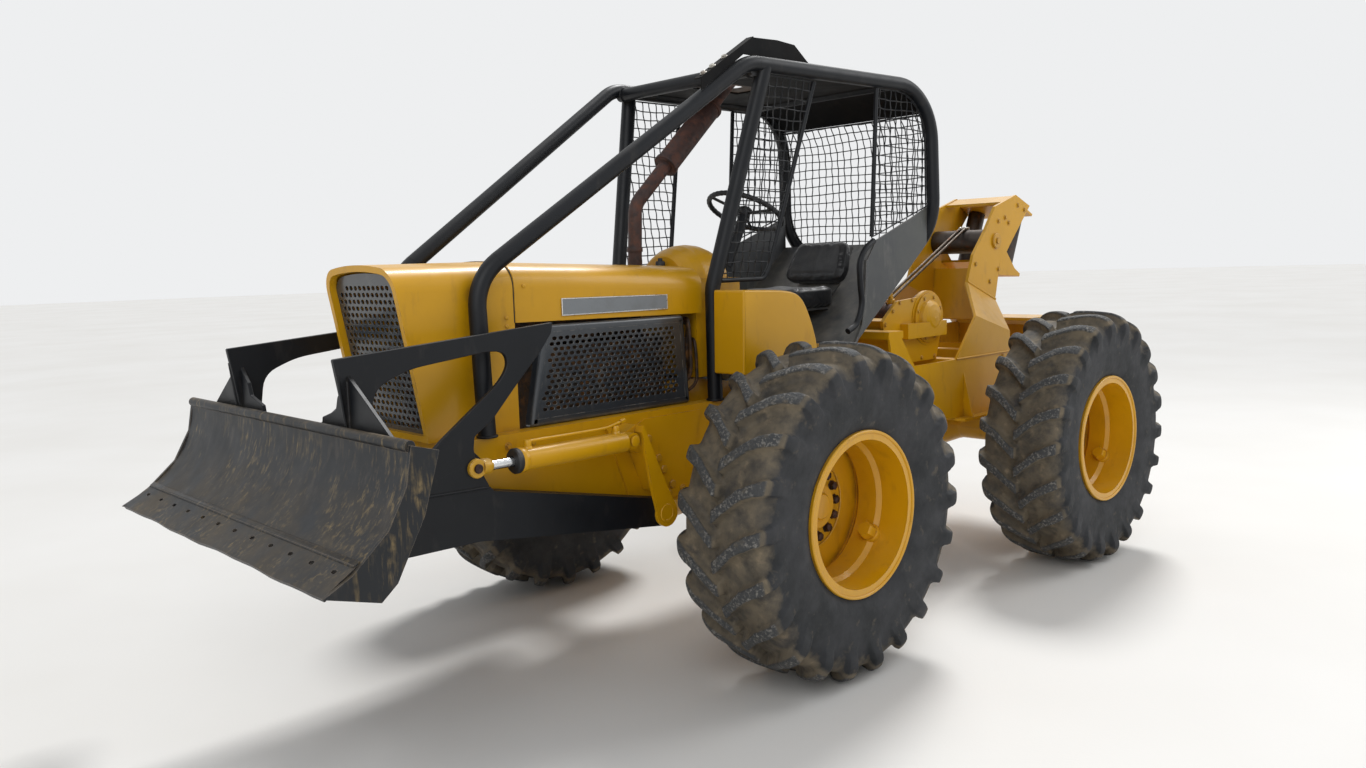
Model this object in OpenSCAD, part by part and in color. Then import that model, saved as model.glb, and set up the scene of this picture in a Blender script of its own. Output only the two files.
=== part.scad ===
// Log skidder: an articulated forestry tractor with a front blade, an open
// guarded operator's station, a winch and a log arch.
// +X is forward, +Y is the machine's left, +Z is up, and the ground is z = 0.
// The origin is on the ground under the middle of the machine's length.

/* [Wheels and stance] */
// Distance between the two axles
wheelbase = 2390; // [2340:10:2500]
// Distance between the wheels' middle planes
track = 2070; // [2040:10:2200]
// Diameter over the tyre's lugs
tyre_od = 1490; // [1470:5:1510]
// Number of lugs on each half of the tread
lug_count = 22; // [18:1:24]
// Width of the tyre
tyre_w = 470; // [440:5:490]
// Height of the lugs above the casing
lug_h = 48; // [36:1:60]
// Radius of the rim where the tyre's bead sits
rim_seat_r = 338; // [330:1:350]
// Radius of the rim's flange
rim_flange_r = 368; // [362:1:376]
// Width over the rim's flanges
rim_w = 426; // [410:2:432]
// Distance of the wheel disc inboard of the wheel's middle plane
disc_inset = 85; // [70:1:95]
// Number of wheel bolts
wheel_bolts = 14; // [8:1:16]
// Radius of the wheel bolts' circle
wheel_bolt_circle = 155; // [148:1:160]
// Radius of the fixed spindle that the wheel hub turns on
spindle_r = 60; // [50:1:70]
// Radius of the axle tube
axle_r = 90; // [80:1:100]

/* [Front frame] */
// Distance from the origin to the front axle
front_axle_x = 555; // [540:1:570]
// Height of the frame's top edge above the axles
rail_above_axle = 430; // [420:1:440]
// Half the width over the front frame's side plates
rail_half = 358; // [350:1:364]
// Thickness of the frame plates
plate_t = 16; // [12:1:18]
// Reach of the front frame ahead of the front axle
nose_x = 1500; // [1480:5:1530]
// Radius of the two articulation pins
hinge_pin_r = 40; // [34:1:46]
// Thickness of each hinge plate
hinge_t = 40; // [34:1:44]

/* [Engine housing] */
// Half the width of the hood and of the grille housing
hood_half = 287; // [280:1:294]
// Height of the grille housing above the frame
housing_h = 704; // [694:1:712]
// Radius of the hood's upper corners
hood_corner = 100; // [80:1:110]
// Radius of the crown across the hood's top
hood_crown = 1500; // [1300:50:1800]
// Thickness of the housing's sheet
sheet_t = 6; // [4:1:8]
// Seam between the hood and the grille housing, ahead of the front axle
seam_x = 1100; // [1080:1:1120]
// Lean of the grille's face from the vertical, in degrees
face_lean = 9.7; // [8:0.1:11]
// Foot of the grille's face, ahead of the front axle
face_x = 1533; // [1525:1:1545]

/* [Blade] */
// Half the width of the blade
blade_half = 948; // [900:1:980]
// Radius of the blade's curved face
blade_r = 400; // [390:1:410]
// Thickness of the blade's skin
blade_t = 16; // [12:1:20]
// Width of a push arm
arm_w = 90; // [80:1:94]
// Distance from the centre line to a push arm's middle
arm_y = 440; // [438:1:446]
// Radius of the push arm's pivot pin
arm_pin_r = 27; // [22:1:32]
// Radius of a lift cylinder's barrel
lift_barrel_r = 45; // [40:1:48]
// Radius of a lift cylinder's rod
lift_rod_r = 20; // [16:1:24]

/* [Operator's guard] */
// Radius of the guard's main tube
guard_r = 37; // [34:1:40]
// Half the distance between the canopy's side tubes at its front
canopy_half = 486; // [478:1:496]
// Half the distance between the canopy's side tubes at the rear hoop
hoop_half = 544; // [536:1:552]
// Height of the canopy's side tubes above the frame
canopy_h = 1600; // [1580:1:1620]
// Radius of the rear hoop's lower corners
hoop_bend = 346; // [330:1:360]

/* [Rear frame] */
// Half the width over the rear frame's side plates
rear_half = 430; // [420:1:440]
// Height of the rear frame's top edge above that of the front frame
rear_rise = 25; // [15:1:30]
// Radius of the arch's vertical guide rollers
side_roller_r = 58; // [50:1:62]
// Radius of the arch's cross roller
cross_roller_r = 80; // [70:1:84]
// Radius of the winch drum's core
drum_r = 90; // [70:1:100]

/* [Hidden] */
$fn = 48;
// Running clearance on the radius of a pin or a spindle in its bore
pin_gap = 0.05;
// Clearance between pieces that touch
seat_gap = 0.3;
// Clearance between moving faces
run_gap = 5;

axle_z = tyre_od / 2;
rail_z = axle_z + rail_above_axle;
pivot_x = front_axle_x - wheelbase / 2;
rear_axle_x = front_axle_x - wheelbase;
// Distance of the articulation pivot behind the front axle
hinge_back = wheelbase / 2;

YELLOW = "#d9960f";
BLACK = "#1d1f22";
RUBBER = "#4a4743";
DARK = "#33302c";
RUST = "#4a2c22";
CHROME = "#c9ccce";

// Front pieces are placed from the front axle and the top of the front frame.
module from_front() {
    translate([front_axle_x, 0, rail_z]) children();
}

// Rear pieces are placed from the articulation pivot and the top of the front frame.
module from_pivot() {
    translate([pivot_x, 0, rail_z]) children();
}

module both_sides() {
    children();
    mirror([0, 1, 0]) children();
}

// side is 1 on the machine's left and -1 on its right
module on_side(side) {
    if (side > 0) children();
    else mirror([0, 1, 0]) children();
}

// Plate with an outline in X and Z, between y = y0 and y = y1
module plate_xz(points, y0, y1) {
    translate([0, y1, 0]) rotate([90, 0, 0]) linear_extrude(y1 - y0) polygon(points);
}

// Plate with an outline in Y and Z, between x = x0 and x = x1
module plate_yz(points, x0, x1) {
    translate([x0, 0, 0]) rotate([90, 0, 90]) linear_extrude(x1 - x0) polygon(points);
}

module block(x, y, z) {
    translate([x[0], y[0], z[0]]) cube([x[1] - x[0], y[1] - y[0], z[1] - z[0]]);
}

// Cylinder along Y between y = y0 and y = y1
module bar_y(x, z, r, y0, y1) {
    translate([x, y1, z]) rotate([90, 0, 0]) cylinder(r = r, h = y1 - y0);
}

// Cylinder along Z between z = z0 and z = z1
module bar_z(x, y, r, z0, z1) {
    translate([x, y, z0]) cylinder(r = r, h = z1 - z0);
}

function unit(v) = v / norm(v);

// Straight round bar from point a to point b
module rod(a, b, r) {
    d = b - a;
    translate(a) rotate([0, acos(d[2] / norm(d)), atan2(d[1], d[0])]) cylinder(r = r, h = norm(d));
}

// Length that a bend of radius bend takes from each side of corner i
function bend_cut(path, i, bend) =
    i == 0 || i == len(path) - 1 ? 0
    : let (u = unit(path[i] - path[i - 1]), v = unit(path[i + 1] - path[i]))
        bend * tan(acos(min(1, u * v)) / 2);

// Each bend starts inside the straight lengths and is this much thinner
bend_lap = 2;
bend_step = 0.5;

// Bent tube of radius r through the corners of path, each with its own bend radius
module tube(path, r, bends) {
    last = len(path) - 1;
    for (i = [1 : last]) {
        u = unit(path[i] - path[i - 1]);
        a = path[i - 1] + u * (bend_cut(path, i - 1, bends[i - 1]) - (i == 1 ? 0 : bend_lap));
        b = path[i] - u * (bend_cut(path, i, bends[i]) - (i == last ? 0 : bend_lap));
        rod(a, b, r);
    }
    for (i = [1 : last - 1]) {
        u = unit(path[i] - path[i - 1]);
        v = unit(path[i + 1] - path[i]);
        n = unit(v - (u * v) * u);
        z = cross(u, n);
        c = path[i] - u * bend_cut(path, i, bends[i]) + n * bends[i];
        multmatrix([
            [-n[0], u[0], z[0], c[0]],
            [-n[1], u[1], z[1], c[1]],
            [-n[2], u[2], z[2], c[2]],
            [0, 0, 0, 1],
        ]) rotate_extrude(angle = acos(u * v)) translate([bends[i], 0]) circle(r = r - bend_step);
    }
}

// Wheels
tread_r = tyre_od / 2;
casing_r = tread_r - lug_h;
bead_half = rim_w / 2 - 13;
rim_wall = 12;
disc_t = 14;
hub_r = 185;
hub_cap_r = 98;
// Hub and spindle, measured along the axle from the wheel's middle plane
hub_inner_y = -track / 2 + 866;
axle_end_y = 860;

// Tyre section: [radius, distance from the middle plane]
TYRE_SIDE = [
    [rim_seat_r + seat_gap, bead_half],
    [rim_flange_r + 6, bead_half],
    [rim_flange_r + 40, tyre_w / 2 - 14],
    [530, tyre_w / 2],
    [casing_r - 40, tyre_w / 2 - 6],
];

// Outline of one lug on the tread: [distance from the middle plane, distance along the tread]
LUG = [[5, -34], [5, 24], [112, 122], [250, 196], [250, 142], [124, 66]];
// Lug envelope: [radius, distance from the middle plane]
LUG_SIDE = [[casing_r - 48, tyre_w / 2 - 1], [tread_r - 16, tyre_w / 2 - 22], [tread_r, tyre_w / 2 - 95]];

// Ring about the wheel's axis with a section that is the same on both sides
module wheel_ring(side) {
    rotate([90, 0, 0]) rotate_extrude($fn = 96) polygon(concat(
        side, [for (i = [len(side) - 1 : -1 : 0]) [side[i][0], -side[i][1]]]
    ));
}

module tyre() {
    wheel_ring(concat(TYRE_SIDE, [[casing_r - 8, tyre_w / 2 - 60], [casing_r, 60]]));
    pitch = 360 / lug_count;
    intersection() {
        wheel_ring(LUG_SIDE);
        for (i = [0 : lug_count - 1]) {
            rotate([0, i * pitch, 0]) plate_yz(LUG, casing_r - 100, tread_r + 20);
            rotate([0, (i + 0.5) * pitch, 0]) mirror([0, 1, 0]) plate_yz(LUG, casing_r - 100, tread_r + 20);
        }
    }
}

// Rim with its disc, hub and cap: the outside of the wheel is at +Y
module rim() {
    half = rim_w / 2;
    flange_in = half - rim_wall;
    inner = rim_seat_r - rim_wall;
    drop = 18;
    rotate([90, 0, 0]) rotate_extrude($fn = 96) polygon([
        [inner, half], [rim_flange_r, half], [rim_flange_r, flange_in],
        [rim_seat_r, flange_in], [rim_seat_r, 70], [rim_seat_r - drop, 50],
        [rim_seat_r - drop, -50], [rim_seat_r, -70], [rim_seat_r, -flange_in],
        [rim_flange_r, -flange_in], [rim_flange_r, -half], [inner, -half],
        [inner, -70], [inner - drop, -50], [inner - drop, 50], [inner, 70],
    ]);
    difference() {
        union() {
            bar_y(0, 0, inner + 1, -disc_inset - disc_t / 2, -disc_inset + disc_t / 2);
            bar_y(0, 0, hub_r, hub_inner_y, -disc_inset);
            bar_y(0, 0, hub_cap_r, -disc_inset, -disc_inset + 50);
        }
        bar_y(0, 0, spindle_r + pin_gap, hub_inner_y - 1, -disc_inset);
    }
    for (i = [0 : wheel_bolts - 1]) rotate([0, i * 360 / wheel_bolts, 0])
        bar_y(wheel_bolt_circle, 0, 14, -disc_inset, -disc_inset + 26);
}

// Each wheel: axle position, side
module at_wheel(axle_x, side) {
    on_side(side) translate([axle_x, track / 2, axle_z]) children();
}

// Axle housing seen from the middle: [radius, distance from the centre line]
AXLE_SIDE = [
    [185, 0], [185, 70], [140, 150], [axle_r + 10, 250], [axle_r, 290], [axle_r, 690],
    [150, 740], [150, axle_end_y], [spindle_r, axle_end_y],
    [spindle_r, track / 2 - disc_inset - 12], [0, track / 2 - disc_inset - 12],
];

module axle() {
    both_sides() rotate([-90, 0, 0]) rotate_extrude($fn = 64)
        polygon(concat([[0, 0]], AXLE_SIDE));
}

module front_axle() {
    color(YELLOW) translate([front_axle_x, 0, axle_z]) axle();
}

module rear_axle() {
    color(YELLOW) translate([rear_axle_x, 0, axle_z]) {
        axle();
        both_sides() block([-110, 110], [330, 540], [0, axle_r - seat_gap]);
    }
}

// Front frame
axle_drop = -rail_above_axle;
hinge_x = -hinge_back;
saddle_low = -rail_above_axle - axle_r - seat_gap;
// Height of the front frame's upper and lower hinge plates, bottom face
upper_lug = 115;
lower_lug = -300;
lug_r = 95;
cross_x = hinge_x + 240;

FRONT_SIDE = [
    [nose_x, 0], [nose_x, -165], [1440, -215], [560, -382], [260, -445], [181, saddle_low],
    [-181, saddle_low], [-260, -445], [-420, -335], [cross_x, -315], [cross_x, 0],
];

// Slot of the axle tube in a frame plate, open downward
module axle_slot(y0, y1, low) {
    bar_y(0, axle_drop, axle_r + seat_gap, y0, y1);
    block([-axle_r - seat_gap, axle_r + seat_gap], [y0, y1], [low - 1, axle_drop]);
}

module hinge_lug(low) {
    difference() {
        union() {
            bar_z(hinge_x, 0, lug_r, low, low + hinge_t);
            block([hinge_x, cross_x + 1], [-lug_r, lug_r], [low, low + hinge_t]);
        }
        bar_z(hinge_x, 0, hinge_pin_r + pin_gap, low - 1, low + hinge_t + 1);
    }
}

module front_frame() {
    inner = rail_half - plate_t;
    color(YELLOW) from_front() {
        both_sides() {
            difference() {
                plate_xz(FRONT_SIDE, inner, rail_half);
                axle_slot(inner - 1, rail_half + 1, saddle_low);
            }
            // Top flange
            block([cross_x, nose_x], [inner - 60, inner + 1], [-plate_t, 0]);
            // Doubler over the axle
            plate_xz([[540, -62], [464, -30], [108, -29], [157, -215], [194, -419], [352, -424]],
                rail_half - 1, rail_half + 8);
            // Retainer under the axle
            block([-170, 170], [inner - 50, rail_half], [saddle_low - 20, saddle_low]);
        }
        // Cross plates: nose, under the engine, under the gearbox
        block([nose_x - plate_t, nose_x], [-inner, inner], [-165, 0]);
        block([540, 700], [-inner, inner], [-330, -250]);
        block([-420, -300], [-inner, inner], [-300, -240]);
        block([1200, 1360], [-inner, inner], [-30, 0]);
        // Hinge bulkhead and its two lugs
        difference() {
            union() {
                block([cross_x, cross_x + plate_t], [-rail_half, rail_half], [-315, 0]);
                block([cross_x, cross_x + plate_t], [-220, 220], [-1, upper_lug + hinge_t]);
            }
            translate([cross_x - 1, 0, -150]) rotate([0, 90, 0]) cylinder(r = 75, h = plate_t + 2);
            both_sides() block([cross_x - 1, cross_x + plate_t + 1],
                [steer_window[0], steer_window[1]], [steer_z - 50, steer_z + 50]);
        }
        hinge_lug(upper_lug);
        hinge_lug(lower_lug);
        // Steering cylinder brackets
        both_sides() for (low = [steer_z - 60, steer_z + 40]) {
            bar_z(steer_front[0], steer_front[1], 34, low, low + 20);
            block([steer_front[0] - 34, steer_front[0] + 34], [steer_front[1], inner + 1], [low, low + 20]);
        }
        both_sides() bar_z(steer_front[0], steer_front[1], steer_pin_r, steer_z - 41, steer_z + 41);
    }
}

module engine() {
    color(DARK) from_front() {
        block([180, 930], [-190, 190], [-180, 330]);
        block([560, 690], [-120, 120], [-250, -179]);
        block([250, 880], [-120, 120], [330, 540]);
        block([1240, 1330], [-250, 250], [0, 600]);
    }
}

module transmission() {
    color(YELLOW) from_front() {
        block([-560, 160], [-170, 170], [-240, floor_z - floor_t]);
        block([-880, -559], [-130, 130], [-220, 60]);
    }
}

// Section of the housing: flat sides, round upper corners and a crowned top
module housing_section(half, h, corner) {
    crown = hood_crown - (hood_half - half);
    in = half - corner;
    corner_z = h - crown + sqrt(pow(crown - corner, 2) - in * in);
    translate([-half, 0]) square([2 * half, corner_z]);
    for (s = [-1, 1]) translate([s * in, corner_z]) circle(r = corner);
    intersection() {
        translate([0, h - crown]) circle(r = crown, $fn = 720);
        polygon([[-in, corner_z - 1], [in, corner_z - 1], [in, corner_z],
            [in * (crown + 9) / (crown - corner), h + 9], [-in * (crown + 9) / (crown - corner), h + 9],
            [-in, corner_z]]);
    }
}

module along_x(x0, x1) {
    translate([x0, 0, 0]) rotate([90, 0, 90]) linear_extrude(x1 - x0) children();
}

// X of the leaning face at a height above the frame
function face_at(z) = face_x + z * tan(face_lean);

// Lip round the open face of the housing
lip_w = 26;
lip_depth = 30;
grille_t = 8;

module grille_housing() {
    top = housing_h + 50;
    color(YELLOW) from_front() difference() {
        intersection() {
            along_x(seam_x, 1700) housing_section(hood_half, housing_h, hood_corner);
            plate_xz([[seam_x, 0], [face_at(0), 0], [face_at(top), top], [seam_x, top]], -400, 400);
        }
        intersection() {
            along_x(seam_x - 1, 1700)
                housing_section(hood_half - sheet_t, housing_h - sheet_t, hood_corner - sheet_t);
            plate_xz([[seam_x - 1, -1], [face_at(-1) - lip_depth, -1], [face_at(top) - lip_depth, top],
                [seam_x - 1, top]], -400, 400);
        }
        translate([0, 0, lip_w]) along_x(seam_x, 1800)
            housing_section(hood_half - lip_w, housing_h - 2 * lip_w, hood_corner - lip_w);
    }
}

// Holes of the front grille: [spacing, radius]
GRILLE_HOLES = [27, 8.5];

module front_grille() {
    back = lip_depth + (grille_t + seat_gap) / cos(face_lean);
    half = hood_half - sheet_t - 4;
    columns = floor((hood_half - lip_w - 20) / GRILLE_HOLES[0]);
    rows = floor((housing_h - 2 * lip_w - 50) / GRILLE_HOLES[0]);
    color(BLACK) from_front() translate([face_x - back, 0, 0]) rotate([0, face_lean, 0])
        along_x(0, grille_t) difference() {
            translate([0, 12]) housing_section(half, housing_h - sheet_t - 26, hood_corner - 10);
            for (i = [-columns : columns], k = [1 : rows])
                if (k < rows - 1 || abs(i) < columns - 1)
                    translate([i * GRILLE_HOLES[0], lip_w + 6 + k * GRILLE_HOLES[0]])
                        circle(r = GRILLE_HOLES[1], $fn = 6);
        }
}

// Fall of the hood toward the operator, in degrees
hood_fall = 2.3;

module hood() {
    color(YELLOW) from_front() intersection() {
        translate([seam_x, 0, housing_h]) rotate([0, -hood_fall, 0]) translate([0, 0, -housing_h])
            difference() {
                along_x(-1110, 10) housing_section(hood_half, housing_h, hood_corner);
                along_x(-1120, 20)
                    housing_section(hood_half - sheet_t, housing_h - sheet_t, hood_corner - sheet_t);
            }
        plate_xz([[-10, 427], [seam_x - seat_gap, 447], [seam_x - seat_gap, 800], [-10, 800]], -400, 400);
    }
    // Bare plate on each side of the hood
    color(YELLOW) from_front() both_sides()
        plate_xz([[854, 536], [234, 511], [234, 463], [854, 488]], hood_half - 1, hood_half + 3);
}

SCREEN = [[968, 416], [141, 412], [111, seat_gap], [1056, seat_gap]];

// Holes of a side screen: [x of the first, z of the first, spacing in x, spacing in z, columns, rows]
SCREEN_HOLES = [205, 72, 36, 24, 20, 13];
screen_hole = [24, 12];

module side_screens() {
    s = SCREEN_HOLES;
    color(BLACK) from_front() both_sides() {
        translate([0, hood_half + 18, 0]) rotate([90, 0, 0]) linear_extrude(12) difference() {
            polygon(SCREEN);
            for (i = [0 : s[4] - 1], k = [0 : s[5] - 1])
                translate([s[0] + i * s[2], s[1] + k * s[3]]) square(screen_hole);
        }
        // Rim that turns inward
        difference() {
            plate_xz(SCREEN, hood_half - 30, hood_half + 7);
            plate_xz([for (p = SCREEN) [560 + (p[0] - 560) * 0.97, 210 + (p[1] - 210) * 0.94]],
                hood_half - 31, hood_half + 6);
        }
        // Upper tab behind the edge of the hood
        block([200, 900], [hood_half - sheet_t - 12, hood_half - sheet_t - seat_gap], [400, 470]);
    }
}

module dash_cowl() {
    color(YELLOW) from_front() {
        block([-330, -10.3], [-235, 235], [floor_z, 590]);
        intersection() {
            translate([-168, 0, 540]) rotate([0, 90, 0]) translate([0, 0, -204])
                rotate_extrude() polygon(concat([[0, 0]],
                    [for (a = [0 : 15 : 180]) [222 * pow(sin(a), 0.6), 204 - 204 * cos(a)]]));
            block([-330, -10.3], [-230, 230], [585, 800]);
        }
    }
}

floor_z = 105;
floor_t = 10;
tank_in_y = 396;
wing_y = 522;
TANK = [
    [34, 140], [24, 539], [-300, 526], [-400, 490], [-467, 377], [-519, 235], [-500, 150], [-137, 130],
];

module side_tanks() {
    color(YELLOW) from_front() both_sides() intersection() {
        plate_xz(TANK, tank_in_y + seat_gap, 600);
        plate_yz([[380, 100], [590, 100], [578, 155], [473, 532], [460, 560], [380, 560]], -600, 60);
    }
}

module platform() {
    color(DARK) from_front() {
        block([-938, -52], [-tank_in_y, tank_in_y], [floor_z - floor_t, floor_z]);
        both_sides() {
            // Legs on the frame's top flange
            for (x = [-860, -300]) block([x, x + 60], [290, 330], [0, floor_z - floor_t + 1]);
            // Upright plate that carries the tank
            block([-450, -80], [tank_in_y - 12, tank_in_y], [floor_z - 1, 300]);
            // Upright under the slope of the seat shell
            plate_xz([[-900, floor_z - 1], [-900, 209.9], [-1000, 286.3], [-1000, floor_z - 9],
                [-930, floor_z - 9]], 300, 312);
        }
    }
}

// Bent bar behind the seat's back
SEAT_BAR = [
    [-1100, 394], [-1119, 399], [-1171, 449], [-1263, 520], [-1396, 730], [-1404, 726],
    [-1271, 514], [-1178, 441], [-1121, 392], [-1100, 388],
];
SEAT_BACK = [[-1262.7, 520.2], [-1190, 525], [-1300, 745], [-1318, 762], [-1345, 768], [-1380, 756], [-1395.7, 730.2]];
seat_top = 395;

module seat_base() {
    color(DARK) from_front() {
        block([-890, -800], [-130, 130], [floor_z, seat_top - 9]);
        block([-1110, -800], [-190, 190], [seat_top - 10, seat_top]);
        plate_xz(SEAT_BAR, -150, 150);
    }
}

module seat_cushion() {
    color(BLACK) from_front() plate_xz([[-790, seat_top + seat_gap], [-770, 420], [-775, 480],
        [-800, 497], [-1000, 497], [-1165, 515], [-1165, 455], [-1112, 398]], -225, 225);
}

module seat_back() {
    color(BLACK) from_front() plate_xz(SEAT_BACK, -225, 225);
}

wheel_centre = [-640, 935];
wheel_tilt = 28;
wheel_ring_r = 205;

module steering_column() {
    color(BLACK) from_front() {
        d = unit([sin(wheel_tilt), cos(wheel_tilt)]);
        rod([wheel_centre[0] + 330 * d[0], 0, wheel_centre[1] - 330 * d[1]],
            [wheel_centre[0] + 28.3 * d[0], 0, wheel_centre[1] - 28.3 * d[1]], 28);
        block([-500, -330 - seat_gap], [-22, 22], [615, 665]);
    }
}

module steering_wheel() {
    color(BLACK) from_front() translate([wheel_centre[0], 0, wheel_centre[1]]) rotate([0, -wheel_tilt, 0]) {
        rotate_extrude() translate([wheel_ring_r, 0]) circle(r = 13);
        translate([0, 0, -28]) cylinder(r = 32, h = 40);
        for (a = [90, 210, 330]) rotate([0, 0, a]) rod([20, 0, -10], [wheel_ring_r - 4, 0, -1], 8);
    }
}

// Operator's guard
guard_post_y = 351;
canopy_front = -146;
canopy_rear = -1605;
// Shoulder where the side tube turns back, and its foot, which stands a little wider
shoulder = [1305, hood_half + guard_r + 1, 636];
guard_foot = [1310, 360];
foot_lean = norm([guard_foot[0] - shoulder[0], guard_foot[1] - shoulder[1]]) / shoulder[2];
GUARD_SIDE = [
    [guard_foot[0], guard_foot[1], seat_gap + guard_r * foot_lean], shoulder,
    [canopy_front, canopy_half, canopy_h],
    [canopy_rear, hoop_half, canopy_h], [-1632, hoop_half + 8, 637],
];
hoop_top_bend = 300;
GUARD_BENDS = [0, 230, 220, hoop_top_bend, hoop_bend];

// Distance of a side tube of the canopy from the centre line
function canopy_y(x) =
    canopy_half + (hoop_half - canopy_half) * (canopy_front - x) / (canopy_front - canopy_rear);

// Cross tubes of the canopy: [x, distance below the side tubes, radius]
CANOPY_BARS = [[-200, 24, 34], [-1300, 6, 24]];

function flip(p) = [p[0], -p[1], p[2]];
function reversed(list) = [for (i = [len(list) - 1 : -1 : 0]) list[i]];

module guard_frame() {
    path = concat(GUARD_SIDE, [for (p = reversed(GUARD_SIDE)) flip(p)]);
    bends = concat(GUARD_BENDS, reversed(GUARD_BENDS));
    color(BLACK) from_front() {
        tube(path, guard_r, bends);
        both_sides() tube([[-12, guard_post_y, seat_gap], [-12, guard_post_y, 545],
            [-264, canopy_y(-264), canopy_h - 10]], guard_r, [0, 150, 0]);
        for (b = CANOPY_BARS) bar_y(b[0], canopy_h - b[1], b[2], -canopy_y(b[0]), canopy_y(b[0]));
    }
}

// Upright plate over the left side tube, ahead of the front axle: [x, z]
slope = (canopy_h - shoulder[2]) / (shoulder[0] - canopy_front);
over_tube = guard_r + seat_gap;
fin_foot = canopy_h + over_tube * sqrt(1 + slope * slope);
FIN = [
    [150, fin_foot - slope * (150 - canopy_front)], [150, canopy_h - 100], [-208, canopy_h + 122],
    [-376, canopy_h + 129], [-506, canopy_h + 121], [-624, canopy_h + over_tube],
    [canopy_front + (fin_foot - canopy_h - over_tube) / slope, canopy_h + over_tube],
];
fin_y = canopy_half - 11;

module guard_roof() {
    front = CANOPY_BARS[0][0] - CANOPY_BARS[0][2] - seat_gap;
    rear = CANOPY_BARS[1][0] + CANOPY_BARS[1][2] + seat_gap;
    edge = guard_r + 2 * seat_gap;
    color(BLACK) from_front() {
        difference() {
            translate([0, 0, canopy_h - 4]) linear_extrude(8) polygon([
                [front, canopy_y(front) - edge], [rear, canopy_y(rear) - edge],
                [rear, edge - canopy_y(rear)], [front, edge - canopy_y(front)],
            ]);
            // Opening for the exhaust
            block([-810, -420], [-190, 30], [canopy_h - 5, canopy_h + 5]);
        }
        plate_xz(FIN, fin_y - 3, fin_y + 3);
        // Front flange of the upright plate
        plate_xz([FIN[1], FIN[2], FIN[2] + [3, 4.8], FIN[1] + [3, 4.8]], fin_y - 42, fin_y + 3);
    }
}

// Spacing and thickness of the mesh's wires
mesh_pitch = 50;
mesh_wire = 6;

// Unit vector along the edge that starts at corner i of a closed outline
function edge(points, i) =
    let (n = len(points), d = points[(i + 1) % n] - points[(i + n) % n]) d / norm(d);

// 1 for an outline that runs anticlockwise, -1 for clockwise
function winding(points) =
    sign([for (i = [0 : len(points) - 1]) cross(points[i], points[(i + 1) % len(points)])] * [for (p = points) 1]);

// The same outline with every edge moved inwards by d
function inset(points, d) =
    [for (i = [0 : len(points) - 1])
        let (a = edge(points, i - 1), b = edge(points, i), s = winding(points) * d)
        points[i] + s * [-a[1] - b[1], a[0] + b[0]] / (1 + a * b)];

// Flat mesh with an outline in its own plane and a solid strip along its edge
module mesh_panel(points, strip) {
    cell = mesh_pitch - mesh_wire;
    u = [for (p = points) p[0]];
    v = [for (p = points) p[1]];
    linear_extrude(mesh_wire) difference() {
        polygon(points);
        intersection() {
            polygon(inset(points, strip));
            union() {
                for (x = [min(u) + mesh_wire : mesh_pitch : max(u)], y = [min(v) + mesh_wire : mesh_pitch : max(v)])
                    translate([x, y]) square(cell);
            }
        }
    }
}

module guard_mesh() {
    bend = hoop_bend - guard_r - run_gap;
    centre = [hoop_half + 8 - hoop_bend, 637 + hoop_bend];
    corner = [for (a = [0 : 6 : 90]) [centre[0] + bend * cos(a), centre[1] - bend * sin(a)]];
    half = concat([[hoop_half + 2.2 - guard_r, canopy_h - 310]], corner);
    color(BLACK) from_front() translate([-1628, 0, 0]) rotate([90, 0, 90])
        mesh_panel(concat(half, [for (p = reversed(half)) [-p[0], p[1]]]), mesh_wire + 1);
}

// Panel between the front post and a thin bar, in the plane of the leaning post
front_panel_low = 581;
post_lean = (canopy_y(-264) - guard_post_y) / (canopy_h - 10 - 545);
post_back = 252 / (canopy_h - 10 - 545);
FRONT_PANEL = [
    [-12 - guard_r - post_back * 36 - 6, front_panel_low], [-375, front_panel_low], [-412, 640],
    [-640, canopy_h - 45], [-264 - guard_r - 4, canopy_h - 45],
];
// Panel between the rear post and the hoop, rounded inside the hoop's upper bend
panel_bend = hoop_top_bend - guard_r - 1;
REAR_PANEL = concat(
    [[-1065, 776], [-1120, canopy_h - guard_r - 1]],
    [for (a = [0 : 15 : 90]) [canopy_rear + 292 - panel_bend * sin(a), canopy_h - hoop_top_bend + panel_bend * cos(a)]],
    [[-1583, 945]]
);
panel_bar_r = 12;

module front_panel(side) {
    wire = mesh_wire;
    lean = atan(post_lean);
    color(BLACK) from_front() on_side(side) translate([0, guard_post_y + 3, 545]) rotate([-lean, 0, 0]) {
        flat = [for (p = FRONT_PANEL) [p[0], (p[1] - 545) / cos(lean)]];
        rotate([90, 0, 0]) mesh_panel(flat, panel_bar_r + 1);
        tube([for (i = [0 : 3]) [flat[i][0], -wire / 2, flat[i][1]]], panel_bar_r, [0, 30, 60, 0]);
    }
}

module rear_panel(side) {
    color(BLACK) from_front() on_side(side) {
        translate([0, wing_y + 7, 0]) rotate([90, 0, 0]) mesh_panel(REAR_PANEL, panel_bar_r + 1);
        rod([REAR_PANEL[0][0], wing_y + 4, REAR_PANEL[0][1] + 4], [REAR_PANEL[1][0], wing_y + 4, REAR_PANEL[1][1] - 1],
            panel_bar_r);
    }
}

module mesh_front_left() { front_panel(1); }
module mesh_front_right() { front_panel(-1); }
module mesh_rear_left() { rear_panel(1); }
module mesh_rear_right() { rear_panel(-1); }

WING = [
    [-1585, 941], [-1434, 881], [-1103, 761], [-1011, 645], [-999, 496], [-969, 310],
    [-897, 208], [-1462, 640], [-1542, 701], [-1585, 736],
];

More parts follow.
